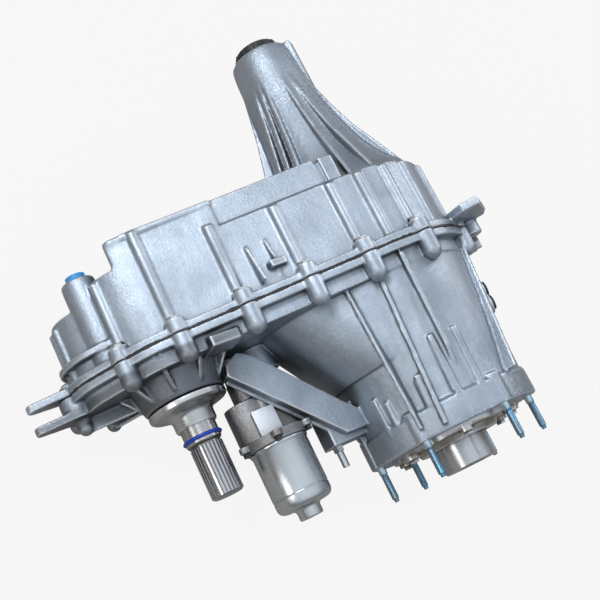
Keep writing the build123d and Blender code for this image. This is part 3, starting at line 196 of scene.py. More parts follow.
edgeWearHighlightAndShadeLook = {"edgeSpan": 0.045, "cornerSpan": 0.06, "shelterReach": 0.030, "shelterSamples": 8,
            "pocketShadeStart": 0.75, "pocketShadeEnd": 0.15}


def buildEdgeWearHighlightAndShade(look):
    # edges worn and brightened with a painted highlight, and painted shade in inside corners, from the
    # curvature of the surface, and painted shade in pockets, from how much of the surroundings a point sees
    group, entry, leave = newGroup("edgeWearHighlightAndShade", {"Edge Start": 0.53, "Corner Start": 0.47},
                                   ["Edge", "Corner", "Pocket Shade"])
    links = group.links
    shape = addNode(group, "ShaderNodeNewGeometry", (-700, 0))
    for name, span, height, operation in (("Edge", "edgeSpan", 200, "ADD"),
                                          ("Corner", "cornerSpan", -200, "SUBTRACT")):
        start = entry.outputs[name + " Start"]
        end = combined(group, (-450, height), operation, start, look[span])
        mask = addNode(group, "ShaderNodeMapRange", (-200, height), {"To Min": 0.0, "To Max": 1.0})
        links.new(shape.outputs["Pointiness"], mask.inputs["Value"])
        links.new(start, mask.inputs["From Min"])
        links.new(end, mask.inputs["From Max"])
        links.new(mask.outputs[0], leave.inputs[name])
    shelter = addNode(group, "ShaderNodeAmbientOcclusion", (-450, -500), {"Distance": look["shelterReach"]},
                      samples=look["shelterSamples"])
    pocketShade = scaled(group, (-200, -500), shelter.outputs["AO"], 0.0, 1.0,
                    look["pocketShadeStart"], look["pocketShadeEnd"])
    links.new(pocketShade, leave.inputs["Pocket Shade"])
    return group


blotchLook = {
    "Broad": {"Detail": 5.0, "Roughness": 0.62, "Distortion": 0.6},
    "Streak": {"Detail": 4.0, "Roughness": 0.7},
    "Mottle": {"Scale": 420.0, "Detail": 3.0, "Roughness": 0.7},
    "stretch": (1.0, 0.18, 1.0),
}


def buildBlotches(look):
    # broad uneven staining, streaks along the shafts and a fine mottle
    group, entry, leave = newGroup("blotches", {"Scale": 14.0, "Streak Scale": 40.0},
                                   ["Broad", "Streak", "Mottle"])
    links = group.links
    place = addNode(group, "ShaderNodeTexCoord", (-1100, 200)).outputs["Object"]
    stretch = addNode(group, "ShaderNodeMapping", (-800, -150), {"Scale": look["stretch"]})
    links.new(place, stretch.inputs["Vector"])
    for name, height, vector, scale in (("Broad", 200, place, "Scale"),
                                        ("Streak", -150, stretch.outputs[0], "Streak Scale"),
                                        ("Mottle", -450, place, None)):
        noise = addNode(group, "ShaderNodeTexNoise", (-500, height), look[name])
        links.new(vector, noise.inputs["Vector"])
        if scale:
            links.new(entry.outputs[scale], noise.inputs["Scale"])
        links.new(noise.outputs["Fac"], leave.inputs[name])
    return group


castGrain = buildCastGrain(grainLook)
edgeWearHighlightAndShade = buildEdgeWearHighlightAndShade(edgeWearHighlightAndShadeLook)
blotches = buildBlotches(blotchLook)


# ---- materials ----

maskSpans = {"broad": (0.35, 0.7), "streak": (0.45, 0.75), "mottle": (0.45, 0.65), "rough": (0.3, 0.7)}


def layer(tree, place, base, mask, amount, color, span=(0.0, 1.0)):
    # the colour laid over the base, as far as the mask and the amount let it
    share = scaled(tree, (place[0] - 200, place[1] + 150), mask, 0.0, amount, *span)
    return mixColor(tree, place, share, base, color)


def shaftPlace(tree, place):
    # where a point lies, in metres: Y runs along the shafts and X from one to the other
    spot = addNode(tree, "ShaderNodeTexCoord", place)
    split = addNode(tree, "ShaderNodeSeparateXYZ", (place[0] + 150, place[1]))
    tree.links.new(spot.outputs["Object"], split.inputs[0])
    return split.outputs


def paintedShadeShare(tree, shade):
    # painted shade: 1 inside a band along the shafts on the output side, fading at its borders
    spot = shaftPlace(tree, (-1300, 900))
    share = scaled(tree, (-950, 900), spot["X"], 1.0, 0.0, *shade["side"])
    for border, low, high in (("front", 0.0, 1.0), ("rear", 1.0, 0.0)):
        edge = scaled(tree, (-950, 1050), spot["Y"], low, high, *shade[border])
        share = combined(tree, (-700, 950), "MULTIPLY", share, edge)
    return share


def newFinish(name, look):
    # a new material with the grain and staining that every finish here has
    material = bpy.data.materials.new(name)
    material.use_nodes = True
    tree = material.node_tree
    grain = placeGroup(tree, castGrain, (-1200, -400),
                       {"Grain Scale": look["grainScale"], "Pit Scale": look["pitScale"]})
    stain = placeGroup(tree, blotches, (-1200, 300),
                       {"Scale": look["stainScale"], "Streak Scale": look["streakScale"]})
    base = layer(tree, (-700, 300), look["color"], stain.outputs["Broad"], look["stainAmount"], look["stain"],
                 maskSpans["broad"])
    return material, grain, stain, base


def coverSurface(tree, look, grain, stain, base):
    # joins the colour, an uneven roughness and the grain to the shader
    shader = tree.nodes["Principled BSDF"]
    tree.links.new(base, shader.inputs["Base Color"])
    low, high = (look["roughness"] + shift for shift in look["roughSpread"])
    rough = scaled(tree, (-700, -100), stain.outputs["Broad"], low, high, *maskSpans["rough"])
    tree.links.new(rough, shader.inputs["Roughness"])
    bump = addNode(tree, "ShaderNodeBump", (-300, -400),
                   {"Strength": look["bump"], "Distance": look["bumpDepth"]})
    tree.links.new(grain.outputs["Height"], bump.inputs["Height"])
    tree.links.new(bump.outputs[0], shader.inputs["Normal"])
    return shader


def metalFinish(name, look):
    # one recipe for every metal here: tone, staining, worn edges with a painted highlight, painted shade in
    # corners and pockets, grain
    material, grain, stain, base = newFinish(name, look)
    tree = material.node_tree
    edges = placeGroup(tree, edgeWearHighlightAndShade, (-1200, 0),
                       {"Edge Start": look["edgeStart"], "Corner Start": look["cornerStart"]})
    base = layer(tree, (-600, 300), base, stain.outputs["Streak"], look["streakAmount"], look["streak"],
                 maskSpans["streak"])
    if "mottle" in look:
        base = layer(tree, (-550, 300), base, stain.outputs["Mottle"], look["mottle"], look["stain"],
                     maskSpans["mottle"])
    # painted shade: the band is darkened towards a near-black shade colour
    if "shade" in look:
        shade = look["shade"]
        base = layer(tree, (-500, 500), base, paintedShadeShare(tree, shade), shade["amount"], shade["color"])
    if "zone" in look:
        zone = look["zone"]
        base = layer(tree, (-450, 450), base, shaftPlace(tree, (-1300, 600))["Y"], zone["amount"],
                     zone["color"], (zone["start"], zone["end"]))
    # painted shade in pockets and inside corners, then worn edges brightened with a painted highlight
    for output, amount, color, across in (("Pocket Shade", "pocketShadeAmount", "corner", -400),
                                          ("Corner", "cornerShadeAmount", "corner", -300),
                                          ("Edge", "edgeWearAndHighlightAmount", "edge", -100)):
        base = layer(tree, (across, 200), base, edges.outputs[output], look[amount], look[color])
    coverSurface(tree, look, grain, stain, base).inputs["Metallic"].default_value = look["metallic"]
    return material


def plasticFinish(name, look):
    # rubber, plastic, sealant and blackened screws
    material, grain, stain, base = newFinish(name, look)
    coverSurface(material.node_tree, look, grain, stain, base)
    return material


# corner is the painted shade colour of creases and pockets; edge is the colour of worn edges, which also paints
# a highlight
castLook = {
    "color": (0.475, 0.53, 0.60), "stain": (0.30, 0.34, 0.39), "streak": (0.63, 0.69, 0.76),
    "corner": (0.06, 0.058, 0.055), "edge": (0.95, 0.97, 1.0),
    "stainAmount": 0.80, "streakAmount": 0.50, "cornerShadeAmount": 0.90, "edgeWearAndHighlightAmount": 0.85, "pocketShadeAmount": 0.85,
    "edgeStart": 0.511, "cornerStart": 0.491, "mottle": 0.35,
    "stainScale": 16.0, "streakScale": 60.0, "grainScale": 1100.0, "pitScale": 330.0,
    "roughness": 0.39, "roughSpread": (-0.07, 0.08), "metallic": 0.90, "bump": 0.60, "bumpDepth": 0.0005,
}
castMaterial = metalFinish("castAluminium", castLook)
darkCastMaterial = metalFinish("gearboxCasting", {
    **castLook, "color": (0.34, 0.34, 0.35), "stain": (0.22, 0.20, 0.18), "streak": (0.40, 0.41, 0.43),
    "edge": (0.60, 0.62, 0.65), "roughness": 0.36, "pocketShadeAmount": 0.7,
})
# the front casting has a painted shade band on its output side
frontCastMaterial = metalFinish("frontCasting", {
    **castLook, "shade": {"side": (-0.240, -0.190), "front": (0.115, 0.135), "rear": (0.1865, 0.1905),
                          "amount": 0.70, "color": (0.10, 0.10, 0.105)}})
padMaterial = metalFinish("machinedPad", {
    **castLook, "color": (0.72, 0.75, 0.79), "stain": (0.60, 0.63, 0.67), "roughness": 0.5, "pocketShadeAmount": 0.2,
})
# corner is the painted shade colour of creases and pockets; edge is the colour of worn edges, which also paints
# a highlight
steelLook = {
    "color": (0.50, 0.51, 0.53), "stain": (0.36, 0.36, 0.36), "streak": (0.62, 0.63, 0.64),
    "corner": (0.06, 0.055, 0.05), "edge": (0.85, 0.86, 0.88),
    "stainAmount": 0.5, "streakAmount": 0.4, "cornerShadeAmount": 0.6, "edgeWearAndHighlightAmount": 0.6, "pocketShadeAmount": 0.6,
    "edgeStart": 0.53, "cornerStart": 0.47,
    "stainScale": 40.0, "streakScale": 160.0, "grainScale": 1400.0, "pitScale": 500.0,
    "roughness": 0.28, "roughSpread": (-0.07, 0.08), "metallic": 1.0, "bump": 0.08, "bumpDepth": 0.0001,
}
finishes = {
    "cast_aluminium": castMaterial,
    "gearbox_casting": darkCastMaterial,
    "dark_steel": metalFinish("darkSteel", {
        **steelLook, "color": (0.16, 0.16, 0.17), "stain": (0.10, 0.09, 0.08)}),
    "bright_steel": metalFinish("brightSteel", steelLook),
    "zinc_bolt": metalFinish("zincBolt", {**steelLook, "color": (0.62, 0.64, 0.66), "roughness": 0.36}),
    "teal_zinc": metalFinish("tealZinc", {
        **steelLook, "color": (0.14, 0.36, 0.58), "stain": (0.26, 0.25, 0.19), "streak": (0.30, 0.56, 0.74),
        "edge": (0.62, 0.80, 0.92), "roughness": 0.28, "stainAmount": 0.85, "stainScale": 45.0,
        "zone": {"start": -0.0085, "end": -0.0060, "amount": 0.75, "color": (0.52, 0.68, 0.74)}}),
    "yellow_zinc": metalFinish("yellowZinc", {
        **steelLook, "color": (0.58, 0.60, 0.60), "stain": (0.48, 0.46, 0.40), "roughness": 0.28}),
    "can_steel": metalFinish("canSteel", {
        **steelLook, "color": (0.62, 0.65, 0.67), "stain": (0.54, 0.57, 0.59), "roughness": 0.27}),
    "output_shaft": metalFinish("outputShaftSteel", {
        **steelLook, "color": (0.20, 0.20, 0.21), "stain": (0.12, 0.11, 0.10), "edge": (0.80, 0.80, 0.82),
        "roughness": 0.24,
        "zone": {"start": 0.099, "end": 0.103, "amount": 0.9, "color": (0.24, 0.21, 0.185)}}),
    "retainer_steel": metalFinish("retainerSteel", {
        **steelLook, "color": (0.44, 0.40, 0.35), "stain": (0.30, 0.25, 0.20), "roughness": 0.30}),
    "chain_steel": metalFinish("chainSteel", {**steelLook, "color": (0.25, 0.24, 0.23)}),
    "bearing_bronze": metalFinish("bearingBronze", {**steelLook, "color": (0.55, 0.38, 0.18)}),
}
blackLook = {
    "color": (0.018, 0.018, 0.02), "stain": (0.05, 0.05, 0.05), "stainAmount": 0.5,
    "stainScale": 60.0, "streakScale": 120.0, "grainScale": 1600.0, "pitScale": 900.0,
    "roughness": 0.42, "roughSpread": (-0.06, 0.06), "bump": 0.25, "bumpDepth": 0.0002,
}
finishes.update({
    "black_screw": plasticFinish("blackOxide", {**blackLook, "roughness": 0.32}),
    "sealant": plasticFinish("siliconeSealant", {**blackLook, "roughness": 0.5}),
    "seal_rubber": plasticFinish("sealRubber", blackLook),
    "black_plastic": plasticFinish("blackPlastic", blackLook),
    "blue_rubber": plasticFinish("blueRubber", {
        **blackLook, "color": (0.003, 0.055, 0.45), "stain": (0.003, 0.03, 0.30), "roughness": 0.25}),
    "blue_plastic": plasticFinish("bluePlastic", {
        **blackLook, "color": (0.03, 0.33, 0.75), "stain": (0.05, 0.40, 0.75)}),
    "friction_lining": plasticFinish("frictionLining", {**blackLook, "color": (0.10, 0.07, 0.05)}),
})
print("materials made:", len(finishes))


# ---- small helpers for modelling ----

def namedPrimitive(name):
    # the primitive just added, with its place moved into its mesh
    piece = bpy.context.object
    piece.name = name
    makeActive(piece)
    bpy.ops.object.transform_apply(location=True, rotation=True, scale=True)
    return piece


def addBlock(name, size, place, turn=0.0):
    deselectAll()
    bpy.ops.mesh.primitive_cube_add(size=1.0, location=place, scale=size,
                                    rotation=(0, -math.radians(turn), 0))
    return namedPrimitive(name)


def pushVertices(piece, chosen, shift):
    # moves the vertices that the test picks out, as by hand
    makeActive(piece)
    bpy.ops.object.mode_set(mode="EDIT")
    bpy.ops.mesh.select_mode(type="VERT")
    bpy.ops.mesh.select_all(action="DESELECT")
    bpy.ops.object.mode_set(mode="OBJECT")
    for vertex in piece.data.vertices:
        vertex.select = chosen(vertex.co)
    bpy.ops.object.mode_set(mode="EDIT")
    bpy.ops.transform.translate(value=shift)
    bpy.ops.object.mode_set(mode="OBJECT")


def bevelAll(piece, width, segments=2):
    makeActive(piece)
    bpy.ops.object.mode_set(mode="EDIT")
    bpy.ops.mesh.select_all(action="SELECT")
    bpy.ops.mesh.bevel(offset=width, segments=segments, affect="EDGES")
    bpy.ops.object.mode_set(mode="OBJECT")


def ringStack(name, spot, rings, segments, capped=True):
    # a turned form: one circle, extruded and resized from ring to ring of (y, radius)
    deselectAll()
    y, radius = rings[0]
    bpy.ops.mesh.primitive_circle_add(
        vertices=segments, radius=radius, fill_type="NGON" if capped else "NOTHING",
        location=(spot[0], y, spot[1]), rotation=(math.pi / 2, 0, 0))
    piece = namedPrimitive(name)
    bpy.ops.object.mode_set(mode="EDIT")
    bpy.ops.mesh.select_all(action="SELECT")
    for nextY, nextRadius in rings[1:]:
        bpy.ops.mesh.extrude_region_move(TRANSFORM_OT_translate={"value": (0, nextY - y, 0)})
        share = nextRadius / radius
        bpy.ops.transform.resize(value=(share, 1.0, share), center_override=(spot[0], nextY, spot[1]))
        y, radius = nextY, nextRadius
    bpy.ops.mesh.select_all(action="SELECT")
    bpy.ops.mesh.remove_doubles(threshold=mergeReach["rings"])
    bpy.ops.mesh.normals_make_consistent(inside=False)
    bpy.ops.object.mode_set(mode="OBJECT")
    return piece


def copiesAt(piece, shifts):
    # one copy of the piece with its own mesh for each shift, joined with it into one object
    copies = []
    for shift in shifts:
        other = piece.copy()
        other.data = piece.data.copy()
        bpy.context.scene.collection.objects.link(other)
        other.data.transform(Matrix.Translation(shift))
        copies.append(other)
    bpy.data.objects.remove(piece)
    return joinAll(copies)


def joinAll(pieces):
    makeActive(pieces[0])
    for piece in pieces:
        piece.select_set(True)
    bpy.ops.object.join()
    return pieces[0]


def smoothByAngle(piece, degrees):
    makeActive(piece)
    bpy.ops.object.shade_smooth_by_angle(angle=math.radians(degrees))


def islandBoxes(nodeName):
    # the lowest and highest corners of each separate solid of a CAD node
    probe = freeCopy(nodeName, "probe")
    makeActive(probe)
    bpy.ops.mesh.separate(type="LOOSE")
    boxes = []
    for part in bpy.context.selected_objects:
        points = [vertex.co for vertex in part.data.vertices]
        low = Vector([min(point[axis] for point in points) for axis in range(3)])
        high = Vector([max(point[axis] for point in points) for axis in range(3)])
        boxes.append((low, high))
    bpy.ops.object.delete()
    return sorted(boxes, key=lambda box: tuple(box[0]))


def nodeBox(nodeName):
    # the lowest and highest corners of a CAD node
    low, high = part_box(nodeName)
    return Vector(low), Vector(high)


def boxMiddle(box):
    return (box[0] + box[1]) / 2


def spotsAt(boxes, y):
    # the middle of each box, moved along the shafts to y
    return [(boxMiddle(box).x, y, boxMiddle(box).z) for box in boxes]


boltBoxes = islandBoxes("case_bolts")
studBoxes = islandBoxes("mounting_studs")
seamLow, seamHigh = nodeBox("seam_gasket")
print("places read:", len(boltBoxes), "bolts", len(studBoxes), "studs")


# ---- forms added to the castings ----

# closing is the small radius to which the innermost ring of a turned form shrinks
columnLook = {"radius": 0.0108, "length": 0.033, "topShare": 0.97, "topStep": 0.003, "bossTop": 0.0160,
              "boreRadius": 0.0090, "boreDepth": 0.0050, "edge": 0.001, "closing": 0.001, "segments": 40}


def frontColumn(look):
    # the ball-ended column under one bolt, standing at the origin with its top at the seam
    radius, ballPlace = look["radius"], look["radius"] - look["length"]
    column = ringStack("column", (0, 0), [(0.0, radius * look["topShare"]), (-look["topStep"], radius),
                                          (ballPlace, radius)], look["segments"])
    bpy.ops.mesh.primitive_uv_sphere_add(segments=look["segments"], ring_count=look["segments"] // 2,
                                         radius=radius, location=(0, ballPlace, 0))
    return joinAll([column, namedPrimitive("ball")])


def rearBoss(look):
    # the round boss that the bolt head sinks into, standing on the seam
    radius, top, bore, edge = look["radius"], look["bossTop"], look["boreRadius"], look["edge"]
    floor = top - look["boreDepth"]
    return ringStack("boss", (0, 0), [(0.0, radius), (top - edge, radius), (top, radius - edge), (top, bore),
                                      (floor, bore), (floor, look["closing"])], look["segments"])


def radialFin(name, look):
    # a long rib along the bell; its outer edge rises from one radius to another
    length = look["end"] - look["start"]
    middle = (look["foot"] + look["low"]) / 2
    angle = look["angle"]
    direction = Vector((math.cos(math.radians(angle)), 0, math.sin(math.radians(angle))))
    place = direction * middle
    place.y = (look["start"] + look["end"]) / 2
    fin = addBlock(name, (look["low"] - look["foot"], length, look["thickness"]), place, angle)
    pushVertices(fin, lambda point: point.y > place.y and point.dot(direction) > middle,
                 direction * (look["high"] - look["low"]))
    return fin


beadLook = {"start": 0.029, "foot": 0.094, "low": 0.1025, "high": 0.1045, "thickness": 0.0068}
finLooks = {
    "longRib": {"angle": 139.0, "start": 0.012, "end": 0.186, "foot": 0.096, "low": 0.1075, "high": 0.1205,
                "thickness": 0.0042},
    "edgeRib": {"angle": 190.0, "start": 0.001, "end": 0.076, "foot": 0.090, "low": 0.1045, "high": 0.1050,
                "thickness": 0.0050},
    "beadRight": {**beadLook, "angle": 93.6, "end": 0.095},
    "beadMiddle": {**beadLook, "angle": 109.5, "end": 0.097},
    "beadShort": {**beadLook, "angle": 127.2, "end": 0.065, "high": 0.1035},
    "beadLeft": {**beadLook, "angle": 160.7, "end": 0.065, "high": 0.1035},
}
lipLook = {"start": (-0.224, 0.150), "end": (-0.128, 0.049), "reach": 0.0035, "width": 0.008,
           "z": (-0.0075, -0.0035)}


def strutLip(look):
    # the thin lower flange along the outer edge of the strut
    start, end = Vector((*look["start"], 0)), Vector((*look["end"], 0))
    along = (end - start).normalized()
    out = Vector((along.y, -along.x, 0))
    middle = (start + end) / 2 + out * (look["reach"] - look["width"] / 2)
    middle.z = sum(look["z"]) / 2
    deselectAll()
    bpy.ops.mesh.primitive_cube_add(size=1.0, location=middle, rotation=(0, 0, math.atan2(along.y, along.x)),
                                    scale=((end - start).length, look["width"], look["z"][1] - look["z"][0]))
    return namedPrimitive("lip")


lobeBall = {"x": -0.368, "z": -0.085, "radius": 0.0092}
detentColumn = {"x": 0.107, "z": 0.066, "radius": 0.0120, "start": 0.1925, "end": 0.2240, "segments": 40}
backRibs = {"plane": 0.3300, "proud": 0.0035, "width": 0.0050, "low": -0.092,
            "places": (-0.235, -0.185, -0.135, -0.085),
            "edgePlace": (-0.2477, 0.0435), "edgeSlope": 0.2335, "belowEdge": 0.016,
            "crossPlace": (-0.165, -0.030), "crossLength": 0.190, "crossTurn": 7.2}
coverBoss = {"place": (-0.185, -0.034), "radius": 0.021, "root": 0.002, "proud": 0.0005, "rim": 0.005,
             "floorInset": 0.006, "floorDepth": 0.0025, "closing": 0.0005, "segments": 48}
underRibs = {"plane": -0.1040, "proud": 0.0030, "width": 0.0050, "start": 0.208, "end": 0.326,
             "places": (-0.250, -0.200, -0.150, -0.100, -0.050)}
coverBlocks = {
    "filling": {"size": (0.0110, 0.0280, 0.0300), "place": (-0.0560, 0.3120, 0.0735)},
    "rimLong": {"size": (0.0850, 0.0060, 0.0060), "place": (-0.2215, 0.3270, 0.0487), "turn": 14.1},
    "rimEnd": {"size": (0.0360, 0.0060, 0.0060), "place": (-0.2785, 0.3270, 0.0338), "turn": 17.5},
}


def coverRibs(back, boss, under):
    # strengthening ribs behind and below the cover, with a round boss where they cross
    pieces = []
    for x in back["places"]:
        high = back["edgePlace"][1] + (x - back["edgePlace"][0]) * back["edgeSlope"] - back["belowEdge"]
        size = (back["width"], 2 * back["proud"], high - back["low"])
        pieces.append(addBlock("backRib", size, (x, back["plane"], (high + back["low"]) / 2)))
    x, z = back["crossPlace"]
    pieces.append(addBlock("crossRib", (back["crossLength"], 2 * back["proud"], back["width"]),
                           (x, back["plane"], z), back["crossTurn"]))
    y = back["plane"] + back["proud"] + boss["proud"]
    radius, floor = boss["radius"], y - boss["floorDepth"]
    pieces.append(ringStack("coverBoss", boss["place"],
                            [(back["plane"] - boss["root"], radius), (y, radius), (y, radius - boss["rim"]),
                             (floor, radius - boss["floorInset"]), (floor, boss["closing"])],
                            boss["segments"]))
    for x in under["places"]:
        pieces.append(addBlock("underRib", (under["width"], under["end"] - under["start"], 2 * under["proud"]),
                               (x, (under["start"] + under["end"]) / 2, under["plane"])))
    return pieces


def frontExtras():
    extras = [copiesAt(frontColumn(columnLook), spotsAt(boltBoxes, seamLow.y)), strutLip(lipLook)]
    extras += [radialFin(name, look) for name, look in finLooks.items()]
    extras.append(copiesAt(frontColumn({**columnLook, "radius": lobeBall["radius"]}),
                           [(lobeBall["x"], seamLow.y, lobeBall["z"])]))
    return extras


def rearExtras():
    look = detentColumn
    column = ringStack("detentColumn", (look["x"], look["z"]),
                       [(look["start"], look["radius"]), (look["end"], look["radius"])], look["segments"])
    blocks = [addBlock(name, **settings) for name, settings in coverBlocks.items()]
    bosses = copiesAt(rearBoss(columnLook), spotsAt(boltBoxes, seamHigh.y))
    return [bosses, column] + blocks + coverRibs(backRibs, coverBoss, underRibs)


# ---- castings: the CAD form with the soft corners of a sand or die casting ----

castings = {
    "front_case": {"piece": "frontCaseCasting", "voxel": 0.0013, "smooth": 3, "triangles": 195000,
                   "extras": frontExtras, "material": frontCastMaterial},
    "rear_case": {"piece": "rearCaseCasting", "voxel": 0.0014, "smooth": 3, "triangles": 195000,
                  "extras": rearExtras,
                  "cuts": {"ribEnd": {"size": (0.012, 0.013, 0.020), "place": (-0.147, 0.2225, 0.0812)}},
                  "rounded": {"low": (-0.40, 0.300, -0.20), "high": (-0.281, 0.3312, 0.12), "passes": 40}},
    "motor_gearbox": {"piece": "gearboxCasting", "voxel": 0.0009, "smooth": 4, "triangles": 120000},
}


def addVoxels(piece, size):
    remesh = piece.modifiers.new("voxels", "REMESH")
    remesh.mode = "VOXEL"
    remesh.voxel_size = size


def addSoften(piece, name, passes):
    soften = piece.modifiers.new(name, "SMOOTH")
    soften.factor = 0.5
    soften.iterations = passes
    return soften


def thinAndShade(piece, limit):
    # brings the piece down to its limit of triangles and shades it smooth
    count = sum(len(face.vertices) - 2 for face in piece.data.polygons)
    if count > limit:
        thin = piece.modifiers.new("thin", "DECIMATE")
        thin.ratio = limit / count
        applyModifiers(piece)
    makeActive(piece)
    bpy.ops.object.shade_smooth()
    print(piece.name, count, "triangles remeshed")


def roundEdges(piece, zone):
    # extra smoothing where the casting has a large soft edge
    group = piece.vertex_groups.new(name="rounded")
    inside = [vertex.index for vertex in piece.data.vertices
              if all(low < value < high for low, value, high in zip(zone["low"], vertex.co, zone["high"]))]
    group.add(inside, 1.0, "REPLACE")
    addSoften(piece, "roundEdges", zone["passes"]).vertex_group = group.name
    applyModifiers(piece)
    piece.vertex_groups.clear()


def softCasting(nodeName, look):
    piece = freeCopy(nodeName, look["piece"])
    for name, settings in look.get("cuts", {}).items():
        cutter = addBlock(name, **settings)
        cut = piece.modifiers.new(name, "BOOLEAN")
        cut.operation = "DIFFERENCE"
        cut.object = cutter
        applyModifiers(piece)
        bpy.data.objects.remove(cutter)
    if "extras" in look:
        piece = joinAll([piece] + look["extras"]())
    addVoxels(piece, look["voxel"])
    addSoften(piece, "soften", look["smooth"])
    applyModifiers(piece)
    if "rounded" in look:
        roundEdges(piece, look["rounded"])
    thinAndShade(piece, look["triangles"])
    return piece


for nodeName, look in castings.items():
    dress(softCasting(nodeName, look), nodeName, look.get("material", finishes[slotOf[nodeName]]))


# ---- turned pieces ----

# dishPlace is how far the dish begins before the end that faces the case
slingerLook = {"reach": 0.0445, "sheet": 0.0016, "collar": 0.0235, "bore": 0.0202, "dishPlace": 0.0105,
               "segments": 128, "smoothAngle": 40.0}


def makeSlinger(look):
    # a pressed dish with a rolled rim, and the collar that grips the shaft
    box = nodeBox("output_slinger")
    start, end, spot = box[0].y, box[1].y, boxMiddle(box)
    dish = end - look["dishPlace"]
    rings = [
        (start, look["bore"]), (start, look["collar"] - 0.0012), (start + 0.0022, look["collar"]),
        (dish - 0.0065, look["collar"]), (dish - 0.0040, look["collar"] + 0.0012),
        (dish - 0.0015, look["collar"] + 0.0050), (dish, look["collar"] + 0.0100),
        (dish + 0.0012, look["reach"] - 0.0060), (dish + 0.0024, look["reach"] - 0.0022),
        (dish + 0.0040, look["reach"] - 0.0003), (dish + 0.0060, look["reach"]), (end - 0.0012, look["reach"]),
        (end - 0.0008, look["reach"] - look["sheet"]), (dish + 0.0055, look["reach"] - look["sheet"]),
        (dish + 0.0040, look["reach"] - 0.0060), (dish + 0.0030, look["bore"] + 0.0060),
        (dish + 0.0030, look["bore"]), (start, look["bore"]),
    ]
    piece = ringStack("slingerDish", (spot.x, spot.z), rings, look["segments"], capped=False)
    smoothByAngle(piece, look["smoothAngle"])
    return piece


ringLook = {"radius": 0.0203, "thickness": 0.0021, "segments": 96, "roundSegments": 20}


def makeOilRing(look):
    deselectAll()
    bpy.ops.mesh.primitive_torus_add(major_radius=look["radius"], minor_radius=look["thickness"],
                                     major_segments=look["segments"], minor_segments=look["roundSegments"],
                                     location=boxMiddle(nodeBox("output_oring")),
                                     rotation=(math.pi / 2, 0, 0))
    piece = namedPrimitive("shaftRing")
    bpy.ops.object.shade_smooth()
    return piece


# thread gives the share of a pitch at which the flank reaches the crest or the root
studLook = {
    "start": 0.0015, "collar": 0.0047, "collarEnd": -0.0075, "neck": 0.0036, "edge": 0.0006,
    "crest": 0.0041, "root": 0.0038, "threadStart": -0.0095, "threadEnd": -0.0360, "pitch": 0.00125,
    "thread": ((0.3, "crest"), (0.5, "crest"), (0.8, "root"), (1.0, "root")),
    "runOut": 0.0008, "dog": 0.0028, "end": -0.0410, "segments": 28, "smoothAngle": 50.0,
}


def makeStuds(look):
    # one stud with its thread rings, then a copy in each hole
    rings = [(look["start"], look["collar"]), (look["collarEnd"], look["collar"]),
             (look["collarEnd"] - look["edge"], look["collar"] - look["edge"]),
             (look["threadStart"], look["neck"])]
    y = look["threadStart"]
    while y > look["threadEnd"]:
        rings += [(y - share * look["pitch"], look[radius]) for share, radius in look["thread"]]
        y -= look["pitch"]
    rings += [(y - look["runOut"], look["dog"]), (look["end"] + look["edge"], look["dog"]),
              (look["end"], look["dog"] - look["edge"])]
    stud = ringStack("mountingStuds", (0, 0), rings, look["segments"])
    piece = copiesAt(stud, spotsAt(studBoxes, 0))
    piece.name = "mountingStudSet"
    smoothByAngle(piece, look["smoothAngle"])
    return piece


sealantLook = {"spread": 3.2, "voxel": 0.0009, "swell": 0.0026, "lumps": 0.010, "middle": 0.25, "smooth": 3,
               "triangles": 120000}


def makeSealant(look):
    # the sealant squeezed out along the seam, wider in some places than in others
    piece = freeCopy("seam_gasket", "sealantBead")
    makeActive(piece)
    bpy.ops.object.mode_set(mode="EDIT")
    bpy.ops.mesh.select_all(action="SELECT")
    bpy.ops.transform.resize(value=(1.0, look["spread"], 1.0),
                             center_override=(0, (seamLow.y + seamHigh.y) / 2, 0))
    bpy.ops.object.mode_set(mode="OBJECT")
    addVoxels(piece, look["voxel"])
    lumps = bpy.data.textures.new("sealantLumps", "CLOUDS")
    lumps.noise_scale = look["lumps"]
    swell = piece.modifiers.new("swell", "DISPLACE")
    swell.texture = lumps
    swell.strength = look["swell"]
    swell.mid_level = look["middle"]
    addSoften(piece, "soften", look["smooth"])
    applyModifiers(piece)
    thinAndShade(piece, look["triangles"])
    return piece


# shellPlace is how far the flat end of the shell stands behind the end of its hub
canLook = {"radius": 0.0320, "wall": 0.0020, "flange": 0.0335, "hub": 0.0135, "shellPlace": 0.0127,
           "segments": 160, "smoothAngle": 40.0}


def makeCan(look):
    # a drawn can with a rolled flange, a stepped and rounded end, and its bearing hub
    box = nodeBox("motor_can")
    hubEnd, top, spot = box[0].y, box[1].y, boxMiddle(box)
    end = hubEnd + look["shellPlace"]
    radius, hub = look["radius"], look["hub"]
    rings = [
        (top - 0.0005, radius - look["wall"]), (top, radius), (top, look["flange"] - 0.0003),
        (top - 0.0006, look["flange"]), (top - 0.0026, look["flange"]), (top - 0.0032, look["flange"] - 0.0004),
        (top - 0.0046, radius), (end + 0.0165, radius), (end + 0.0160, radius - 0.0006),
        (end + 0.0148, radius - 0.0006), (end + 0.0142, radius - 0.0001), (end + 0.0075, radius - 0.0003),
        (end + 0.0050, radius - 0.0010), (end + 0.0028, radius - 0.0024), (end + 0.0012, radius - 0.0046),
        (end + 0.0003, radius - 0.0076), (end, radius - 0.0100), (end, hub + 0.0042),
        (end - 0.0006, hub + 0.0022), (end - 0.0022, hub + 0.0007), (end - 0.0042, hub),
        (hubEnd + 0.0014, hub), (hubEnd + 0.0004, hub - 0.0005), (hubEnd, hub - 0.0015),
        (hubEnd, hub - 0.0045), (hubEnd + 0.0006, hub - 0.0052), (hubEnd + 0.0006, 0.0004),
    ]
    piece = ringStack("canShell", (spot.x, spot.z), rings, look["segments"])
    smoothByAngle(piece, look["smoothAngle"])
    return piece


